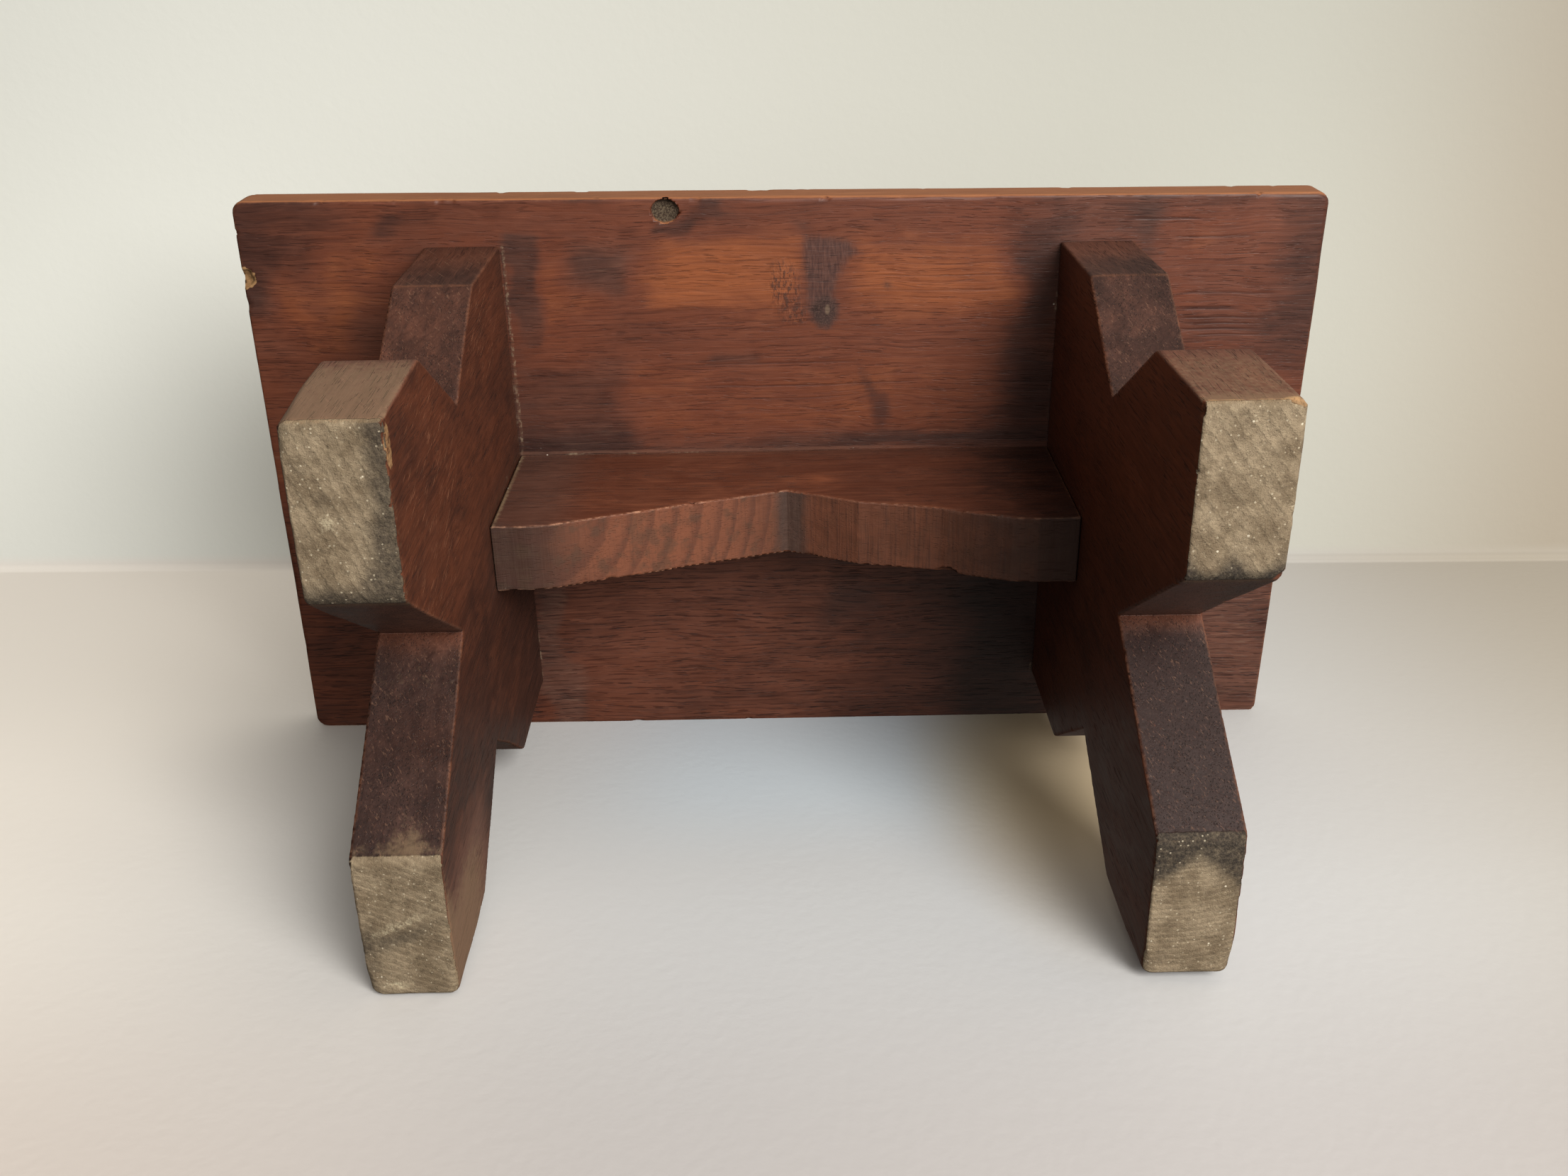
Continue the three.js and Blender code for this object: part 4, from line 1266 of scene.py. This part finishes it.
def paint_rail(wood):
    """The sawn lower edge with growth arcs and saw marks, rubbed arrises, old glue."""
    x, y, patchy, ragged = wood.x, wood.y, wood.patchy, wood.ragged_noise
    sawn = wood.mark("sole")
    tone = wood.math("MULTIPLY_ADD", wood.fine_cloud - 0.5, 0.6, wood.mark("tone"))
    base = wood.mix(tone.ramp(-0.7, 0.75), (54, 34, 26), (114, 68, 48))
    base = base.paint((92, 68, 58), wood.mark("grey") * 0.6)
    phase = wood.mark("rings").ragged(patchy, 0.35).fraction()
    arc = phase.tooth(0.50, 0.88, 0.92) * 0.75 + phase.ramp(0.0, 0.9) * 0.25
    arc = arc * x.ramp(14.0, -4.0, low=0.25, high=1.0)
    base = base.paint((66, 40, 32), arc * 0.50)
    across = wood.noise((x * 1.25, y * 0.05, 0.0), rough=0.6)
    along = wood.noise((x * 0.16, y * 1.2, 0.0), rough=0.6)
    blotch = patchy.ramp(0.48, 0.66) * x.ramp(4.0, -10.0, low=0.15, high=0.55)
    base = base.paint((70, 52, 40), blotch)
    saw_marks = across.ramp(0.46, 0.70) * x.ramp(0.0, 14.0, low=0.4, high=1.0)
    base = base.paint((52, 34, 28), saw_marks * 0.50)
    base = base.paint((60, 40, 33), along.ramp(0.56, 0.72) * 0.28)
    grey_mark = wood.mark("stain").ragged(patchy, 5.0).ramp(2.2, -2.2)
    base = base.paint(wood.mix(ragged, (44, 34, 31), (76, 61, 54)), grey_mark * 0.85)
    wood.paint(base, sawn * 0.94)
    edge = wood.mark("edge").ragged(ragged, 0.9)
    rubbed = x.ramp(8.0, -4.0, low=0.35, high=1.0)
    rubbed = rubbed * patchy.ramp(0.3, 0.55, low=0.3, high=0.75)
    wood.paint((196, 146, 118), edge.ramp(0.85, 0.1) * rubbed)
    wood.rough += sawn * 0.18
    wood.height += sawn * (across * 0.16 + along * 0.05)
    glue = x.ragged(ragged, 2.4).ramp(-96.2, -97.8)  # at the left panel
    glue = glue * patchy.ramp(0.30, 0.50, low=0.35, high=0.85)
    wood.paint((160, 140, 110), glue * ((1.0 - sawn) * 0.6))


def paint_joints(wood, dusty):
    """A dark line at each joint, painted shade within 14 mm of it, specks and, where dusty, old
    dust.
    """
    joint = wood.mark("joint")
    wood.paint((30, 18, 15), joint.ramp(0.9, 0.0) * 0.55)
    # painted shade: darker within 14 mm of each joint, in the corners between the parts
    wood.paint((50, 36, 32), joint.ramp(14.0, 0.0) * wood.fine_cloud.ramp(0.30, 0.65) * 0.32)
    if dusty:
        broken = wood.noise(wood.point, scale=0.05).ramp(0.45, 0.60)
        dust = abs(joint.ragged(wood.ragged_noise, 1.6) - 0.6).ramp(0.55, 0.10)
        dust = dust * (wood.patchy.ramp(0.50, 0.64) * broken)
        wood.paint((150, 132, 110), dust * 0.45)
    white = wood.speck.ramp(0.16, 0.08) * wood.speck_pick.ramp(0.86, 0.89)
    wood.paint((222, 212, 196), white * joint.ramp(3.5, 0.5) * 0.85)


def paint_hollow(wood):
    """The hollow in the underside, with painted shadow on its upper wall and round its rim, and a
    few pale specks over the whole top.
    """
    hollow = wood.mark("hollow").ragged(wood.ragged_noise, 0.8).ramp(0.35, -0.3)
    hollow = hollow * wood.mark("under")
    inside = wood.mix(wood.grit.ramp(0.40, 0.62), (40, 33, 26), (92, 82, 66))
    # painted shadow on the hollow's upper wall and round its rim
    inside = inside.paint((34, 26, 20), wood.mark("pit").ramp(0.75, 0.15) * 0.8)
    wood.paint(inside, hollow * 0.9)
    wood.rough += hollow * 0.4
    wood.height += hollow * (wood.grit * 0.5)
    speck, pick = wood.cells(wood.point, 0.075, channel=2)
    wood.paint((216, 204, 186), speck.ramp(0.060, 0.035) * pick.ramp(0.90, 0.92) * 0.8)


def wood_material(name, look):
    material = bpy.data.materials.new(name)
    material.use_nodes = True
    wood = Wood(material.node_tree, look)
    if wood.is_top:
        paint_underside(wood)
    paint_wear(wood)
    if look["upright"]:
        paint_sole(wood)
        paint_panel_faces(wood)
    if look is RAIL_LOOK:
        paint_rail(wood)
    paint_joints(wood, dusty=look is not RAIL_LOOK)
    if wood.is_top:
        paint_hollow(wood)
    wood.rough = wood.rough.clamp(0.25, 0.95)
    wood.finish(**wood_gloss(0.27))
    return material


# ---------------------------------------------------------------- build the four boards
STEP = 1.0
GAP_Z = np.array([0, 0, 0.2])  # room for detail past the frame's boxes
GAP_X = np.array([0.2, 0, 0])
top = build(
    "top_board_worn", top_distance, TOP_LO, TOP_HI, STEP * 1.05, top_marks, top_play)
left = build(
    "end_panel_left_worn", panel_distance(-1), LEFT_LO, LEFT_HI + GAP_Z, STEP,
    panel_marks(-1), left_play)
right = build(
    "end_panel_right_worn", panel_distance(1), RIGHT_LO, RIGHT_HI + GAP_Z, STEP,
    panel_marks(1), right_play)
rail = build(
    "stretcher_rail_worn", rail_distance, RAIL_LO - GAP_X, RAIL_HI + GAP_X + GAP_Z, STEP * 0.85,
    rail_marks, lambda points: points)

top.data.materials.append(wood_material("stained_top_wood", TOP_LOOK))
left.data.materials.append(wood_material("stained_panel_wood_left", LEFT_LOOK))
right.data.materials.append(wood_material("stained_panel_wood_right", RIGHT_LOOK))
rail.data.materials.append(wood_material("stained_rail_wood", RAIL_LOOK))


# ---------------------------------------------------------------- holes
def cutter(profile, segments, place, turn=Matrix.Identity(4)):
    """A turned cutting tool from (radius, height) points."""
    vertices, faces = [], []
    for radius, z in profile:
        for k in range(segments):
            angle = 2 * math.pi * k / segments
            vertices.append((radius * math.cos(angle), radius * math.sin(angle), z))
    for i in range(len(profile) - 1):
        low, high = i * segments, (i + 1) * segments
        for k in range(segments):
            after = (k + 1) % segments
            faces.append((low + k, low + after, high + after, high + k))
    faces.append(tuple(reversed(range(segments))))
    faces.append(tuple((len(profile) - 1) * segments + k for k in range(segments)))
    mesh = bpy.data.meshes.new("cutter")
    mesh.from_pydata(vertices, [], faces)
    mesh.transform(Matrix.Scale(MM, 4) @ Matrix.Translation(Vector(place)) @ turn)
    return add_object("cutter", mesh)


def cut(piece, tools):
    """Cuts the tools out of a board, then removes them."""
    bpy.context.view_layer.update()
    for tool in tools:
        modifier = piece.modifiers.new("cut", "BOOLEAN")
        modifier.operation = "DIFFERENCE"
        modifier.solver = "MANIFOLD"
        modifier.object = tool
    depsgraph = bpy.context.evaluated_depsgraph_get()
    mesh = bpy.data.meshes.new_from_object(
        piece.evaluated_get(depsgraph), preserve_all_data_layers=True, depsgraph=depsgraph)
    piece.modifiers.clear()
    old = piece.data
    piece.data = mesh
    mesh.name = piece.name
    bpy.data.meshes.remove(old)
    for tool in tools:
        mesh = tool.data
        bpy.data.objects.remove(tool)
        bpy.data.meshes.remove(mesh)


def boxes_named(part):
    return {name: box_mm(name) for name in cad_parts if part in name}


PLUGS = boxes_named("_plug_")
SCREWS = boxes_named("_screw_")
DOWELS = boxes_named("_dowel_")

# Hole through the top for a screw and its plug, from the screw's head: radius, height
SCREW_HOLE = [(2.4, -20.0), (2.4, -2.9), (4.3, -0.3), (5.0, -0.3), (5.0, 12.0)]
DOWEL_HOLE_R = 5.3

top_tools, left_tools, right_tools, rail_tools = [], [], [], []
for low, high in SCREWS.values():
    x, y, _ = (low + high) / 2
    top_tools.append(cutter(SCREW_HOLE, 56, (x, y, high[2])))
    deep = UNDERSIDE - low[2] + 1.2
    tool = cutter([(0.8, -deep), (2.4, -deep + 3), (2.4, 2.0)], 24, (x, y, UNDERSIDE))
    if x < -PANEL_INNER:
        left_tools.append(tool)
    elif x > PANEL_INNER:
        right_tools.append(tool)
    else:
        rail_tools.append(tool)
for low, high in DOWELS.values():
    centre = (low + high) / 2
    half = (high[0] - low[0]) / 2 + 0.8
    profile = [(DOWEL_HOLE_R, -half), (DOWEL_HOLE_R, half)]
    for tools in (left_tools if centre[0] < 0 else right_tools, rail_tools):
        tools.append(cutter(profile, 32, tuple(centre), Matrix.Rotation(math.pi / 2, 4, "Y")))
cut(top, top_tools)
cut(left, left_tools)
cut(right, right_tools)
cut(rail, rail_tools)


# ---------------------------------------------------------------- plugs, screws and dowels
PLUG_R = 4.88
PLUG_SEGMENTS = 48
PLUG_WAVE = 0.002  # how far from round a plug is, as a part of its radius


def plug_profile(height):
    """A plug from its foot to its slightly domed head: radius, height."""
    return [
        (4.3, -height), (4.75, -height + 1.1), (4.86, -2.0), (PLUG_R, -0.35), (4.80, -0.16),
        (4.55, -0.10), (3.6, -0.07), (2.4, -0.05), (1.2, -0.05),
    ]


def plug(name, profile, place, seed):
    lobes, ripples, tilt, _ = np.random.default_rng(seed).uniform(0, 2 * math.pi, 4)
    vertices, faces = [(0, 0, profile[0][1])], []
    for radius, height in profile:
        for k in range(PLUG_SEGMENTS):
            angle = 2 * math.pi * k / PLUG_SEGMENTS
            wave = math.sin(3 * angle + lobes) + 0.6 * math.sin(7 * angle + ripples)
            r = radius * (1 + PLUG_WAVE * wave)
            lift = 0.06 * PLUG_WAVE * 10 * math.sin(2 * angle + tilt) if radius < 4.6 else 0
            vertices.append((r * math.cos(angle), r * math.sin(angle), height + lift))
    vertices.append((0, 0, profile[-1][1]))
    last_ring = 1 + (len(profile) - 1) * PLUG_SEGMENTS
    for k in range(PLUG_SEGMENTS):
        after = (k + 1) % PLUG_SEGMENTS
        faces.append((0, 1 + after, 1 + k))
        for low in range(1, last_ring, PLUG_SEGMENTS):
            high = low + PLUG_SEGMENTS
            faces.append((low + k, low + after, high + after, high + k))
        faces.append((len(vertices) - 1, last_ring + k, last_ring + after))
    mesh = bpy.data.meshes.new(name)
    mesh.from_pydata(vertices, [], faces)
    mesh.transform(Matrix.Scale(MM, 4) @ Matrix.Translation(Vector(place)))
    mesh.polygons.foreach_set("use_smooth", np.ones(len(mesh.polygons), bool))
    mesh.set_sharp_from_angle(angle=math.radians(40))
    return add_object(name, mesh)


def plug_material():
    material, wood = material_graph("stained_plug_wood")
    point = wood.millimetres()
    x, y, z = point.split()
    fibre = wood.noise((x * 0.05, y * 1.5, z * 1.5), detail=3.0, rough=0.6)
    pores = wood.noise((x * 0.25, y * 2.4, z * 2.4), detail=1.0).ramp(0.6, 0.7)
    cloud = wood.noise(point, scale=0.05)
    wood.colour = wood.mix(cloud.ramp(0.3, 0.7), (84, 44, 34), (118, 62, 44))
    wood.paint((60, 32, 27), fibre.ramp(0.7, 0.3) * 0.5)
    wood.paint((30, 17, 15), pores * 0.6)
    wood.paint((26, 15, 12), wood.mark("rim").ramp(0.6, 1.0) * 0.75)
    wood.rough = 0.42 + cloud * 0.2
    wood.height = fibre * 0.05 + pores * -0.1
    wood.finish(**wood_gloss(0.45))
    return material


def steel_material():
    material, steel = material_graph("dull_screw_steel")
    point = steel.millimetres()
    blotch = steel.noise(point, detail=4.0, rough=0.6, scale=0.8)
    turned = steel.noise(steel.vector("MULTIPLY", point, (0.4, 0.4, 6.0)))
    steel.colour = steel.mix(blotch.ramp(0.35, 0.65), (120, 112, 100), (168, 164, 156))
    steel.paint((96, 62, 40), blotch.ramp(0.62, 0.75) * 0.7)
    steel.rough = 0.35 + blotch * 0.3
    steel.height = blotch + turned
    steel.finish(bump_distance=0.00004, Metallic=0.9)
    return material


def dowel_material():
    material, wood = material_graph("pale_dowel_wood")
    x, y, z = wood.millimetres().split()
    fibre = wood.noise((x * 0.05, y * 1.6, z * 1.6), detail=3.0, rough=0.6)
    wood.colour = wood.mix(fibre, (176, 138, 92), (216, 184, 138))
    wood.rough = 0.7
    wood.height = fibre * 0.1
    wood.finish(**wood_gloss(0.3))
    return material


def hand_over(piece, node):
    """Tells the frame what a piece rides on and replaces."""
    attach(piece, "root")
    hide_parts(node)


def dress(names, material, bevel):
    """Gives pieces of the frame a material and eased edges."""
    for name in names:
        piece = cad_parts[name]
        piece.data.materials.clear()
        piece.data.materials.append(material)
        modifier = piece.modifiers.new("ease", "BEVEL")
        modifier.width = bevel
        modifier.segments = 1
        modifier.limit_method = "ANGLE"


plug_wood, steel, dowel_wood = plug_material(), steel_material(), dowel_material()

for i, name in enumerate(sorted(PLUGS)):
    low, high = PLUGS[name]
    x, y, _ = (low + high) / 2
    piece = plug(name + "_fitted", plug_profile(high[2] - low[2]), (x, y, TOP_HI[2]), seed=i)
    spots = [vertex.co for vertex in piece.data.vertices]
    rim = np.array([math.hypot(spot.x / MM - x, spot.y / MM - y) for spot in spots]) / PLUG_R
    attribute = piece.data.attributes.new("rim", "FLOAT", "POINT")
    attribute.data.foreach_set("value", rim.astype(np.float32))
    piece.data.materials.append(plug_wood)
    hand_over(piece, name)

dress(SCREWS, steel, bevel=0.00012)
dress(DOWELS, dowel_wood, bevel=0.0002)

hand_over(top, "top_board")
hand_over(left, "end_panel_left")
hand_over(right, "end_panel_right")
hand_over(rail, "stretcher_rail")

# ---------------------------------------------------------------- stage, in metres
# A pale floor behind the bench and a wall above its top, seen by the camera alone
FLOOR_NORMAL = Vector((0.0, -0.9952, 0.0977))
FLOOR_ALONG = Vector((0.0, 0.0977, 0.9952))  # over the floor, towards the wall
FLOOR_POINT = Vector((0.0, TOP_HI[1] * MM + 0.0001, UNDERSIDE * MM))
WALL_DISTANCE = 0.1877
WALL_TURN = -0.0321  # shift towards the wall per metre of x
FOLD_R = 0.004
STAGE_HALF = 1.8
STAGE_REACH = 1.6


def stage_material():
    material, stage = material_graph("stage_pale")
    point = stage.coordinates()
    x, y, z = point.split()
    mottle = stage.noise(point, detail=3.0, rough=0.6, scale=6.0)
    fine = stage.noise(point, scale=260.0)
    # height above the floor, and the part of the way from left to right
    height = y * FLOOR_NORMAL.y + z * FLOOR_NORMAL.z + -FLOOR_POINT.dot(FLOOR_NORMAL)
    across = x.ramp(-0.34, 0.40, curve="LINEAR")
    wall = stage.mix(across.ramp(0.0, 0.85), (234, 237, 232), (192, 193, 185))
    wall = wall.paint((166, 156, 141), across.ramp(0.76, 1.06))
    wall = wall.shade((0.84, 0.84, 0.84), height.ramp(0.10, 0.32))
    floor = stage.mix(across.ramp(0.05, 0.45), (238, 234, 228), (202, 205, 208))
    floor = floor.paint((177, 170, 158), across.ramp(0.60, 1.0))
    # painted shade: a cool tint on the floor between the feet, under the bench
    floor_shade_tint = x.ramp(-0.10, -0.02) * x.ramp(0.11, 0.03) * z.ramp(0.06, 0.13)
    floor = floor.paint((204, 216, 226), floor_shade_tint * 0.8)
    # painted shadow: a warm brown tint on the floor beside the right rear foot
    leg_shadow_tint = stage.length((x - 0.100) * 20.0, (z - 0.135) * 8.5, 0.0)
    floor = floor.shade((1.0, 0.76, 0.44), leg_shadow_tint.ramp(1.25, 0.25) * 0.85)
    floor = floor.shade((0.78, 0.73, 0.71), z.ramp(0.06, -0.09))
    colour = stage.mix(height.ramp(0.002, 0.010), floor, wall)
    fold = height.ramp(0.0002, 0.0012) * height.ramp(0.0046, 0.0030)
    fold_dark = x.ramp(-0.2, 0.25, low=0.10, high=0.32)
    colour = colour.shade((0.62, 0.60, 0.56), fold * fold_dark)
    colour = colour.shade((0.80, 0.80, 0.80), mottle * 0.10)
    matt = stage.value(0, "ShaderNodeBsdfDiffuse", {
        "Color": colour, "Normal": stage.bump(fine, 0.0001),
    })
    clear = stage.value(0, "ShaderNodeBsdfTransparent", {})
    from_behind = stage.value("Backfacing", "ShaderNodeNewGeometry", {})
    surface = stage.value(0, "ShaderNodeMixShader", {0: from_behind, 1: matt, 2: clear})
    stage.add("ShaderNodeOutputMaterial", {0: surface})
    return material


def stage_sheet():
    """Floor and wall in one sheet with a tight curve between them."""
    wall_point = FLOOR_POINT + FLOOR_ALONG * WALL_DISTANCE
    centre = wall_point - FLOOR_ALONG * FOLD_R + FLOOR_NORMAL * FOLD_R
    profile = [
        FLOOR_POINT - FLOOR_ALONG * STAGE_REACH, FLOOR_POINT - FLOOR_ALONG * 0.3, FLOOR_POINT,
    ]
    for k in range(9):
        angle = math.pi / 2 * k / 8
        along, down = FOLD_R * math.sin(angle), FOLD_R * math.cos(angle)
        profile.append(centre + FLOOR_ALONG * along - FLOOR_NORMAL * down)
    profile.append(wall_point + FLOOR_NORMAL * 0.3)
    profile.append(wall_point + FLOOR_NORMAL * STAGE_REACH)
    vertices = []
    for point in profile:
        for x in (-STAGE_HALF, STAGE_HALF):
            turned = point + FLOOR_ALONG * (WALL_TURN * x)
            vertices.append((x, turned.y, turned.z))
    faces = [(2 * i, 2 * i + 1, 2 * i + 3, 2 * i + 2) for i in range(len(profile) - 1)]
    mesh = bpy.data.meshes.new("stage_sheet")
    mesh.from_pydata(vertices, [], faces)
    mesh.update()
    mesh.polygons.foreach_set("use_smooth", np.ones(len(mesh.polygons), bool))
    return add_object("stage_sheet", mesh)


sheet = stage_sheet()
sheet.data.materials.append(stage_material())
sheet.visible_diffuse = False
sheet.visible_glossy = False
sheet.visible_transmission = False
sheet.visible_shadow = False


# ---------------------------------------------------------------- light
def light_world():
    """A bright side of the sky, and a gentler glow above the top board."""
    world = bpy.data.worlds.new("studio")
    bpy.context.scene.world = world
    world.use_nodes = True
    sky = Graph(world.node_tree)
    view = sky.coordinates("Generated")

    def towards(*direction):
        return sky.vector("DOT_PRODUCT", view, Vector(direction).normalized(), output="Value")

    bright = towards(0.62, -0.50, -0.60).ramp(-0.30, 1.0, low=0.035, high=0.62)
    glow = towards(0.25, -0.10, 1.0).ramp(0.05, 0.9, low=0.0, high=0.75)
    # the glow is mostly left out of reflections
    glossy = sky.value("Is Glossy Ray", "ShaderNodeLightPath", {})
    strength = bright + glow * sky.math("MULTIPLY_ADD", glossy, -0.8, 1.0)
    background = sky.value(0, "ShaderNodeBackground", {
        "Color": srgb(255, 246, 232), "Strength": strength,
    })
    sky.add("ShaderNodeOutputWorld", {0: background})


def area_light(name, place, target, size, power, colour):
    light = bpy.data.lights.new(name, "AREA")
    light.shape = "RECTANGLE"
    light.size, light.size_y = size
    light.energy = power
    light.color = colour
    lamp = add_object(name, light)
    lamp.location = place
    lamp.rotation_mode = "QUATERNION"
    lamp.rotation_quaternion = (Vector(target) - Vector(place)).to_track_quat("-Z", "Y")


light_world()
area_light(
    "key", place=(0.47, -0.64, -0.76), target=(0.0, 0.0, 0.09),
    size=(0.60, 0.50), power=19.0, colour=(1.0, 0.965, 0.91))
area_light(
    "front", place=(0.10, -0.35, -1.15), target=(0.0, 0.0, 0.08),
    size=(0.9, 0.7), power=2.5, colour=(0.97, 0.98, 1.0))

# ---------------------------------------------------------------- camera and render settings
camera_data = bpy.data.cameras.new("camera")
camera = add_object("camera", camera_data)
camera_data.sensor_fit = "HORIZONTAL"
camera_data.sensor_width = 36.0
camera_data.lens = 33.2174
camera_data.clip_start, camera_data.clip_end = 0.01, 20.0

# From the bench to the camera, whose x is right, y down and z forward
VIEW_TURN = Matrix((
    (0.99983226, 0.01574798, -0.00935140),
    (-0.01825458, 0.89835725, -0.43888612),
    (0.00148933, 0.43898321, 0.89849403),
))
VIEW_SHIFT = Vector((1.750701, 38.466525, 382.200332)) * MM
location = -(VIEW_TURN.transposed() @ VIEW_SHIFT)
right_axis, down_axis, forward_axis = (Vector(row) for row in VIEW_TURN)
camera_axes = Matrix((right_axis, -down_axis, -forward_axis)).transposed()
camera.matrix_world = Matrix.Translation(location) @ camera_axes.to_4x4()

scene = bpy.context.scene
scene.camera = camera
scene.view_settings.view_transform = "Standard"
scene.view_settings.look = "None"
scene.view_settings.exposure = 0.0
scene.view_settings.gamma = 1.0
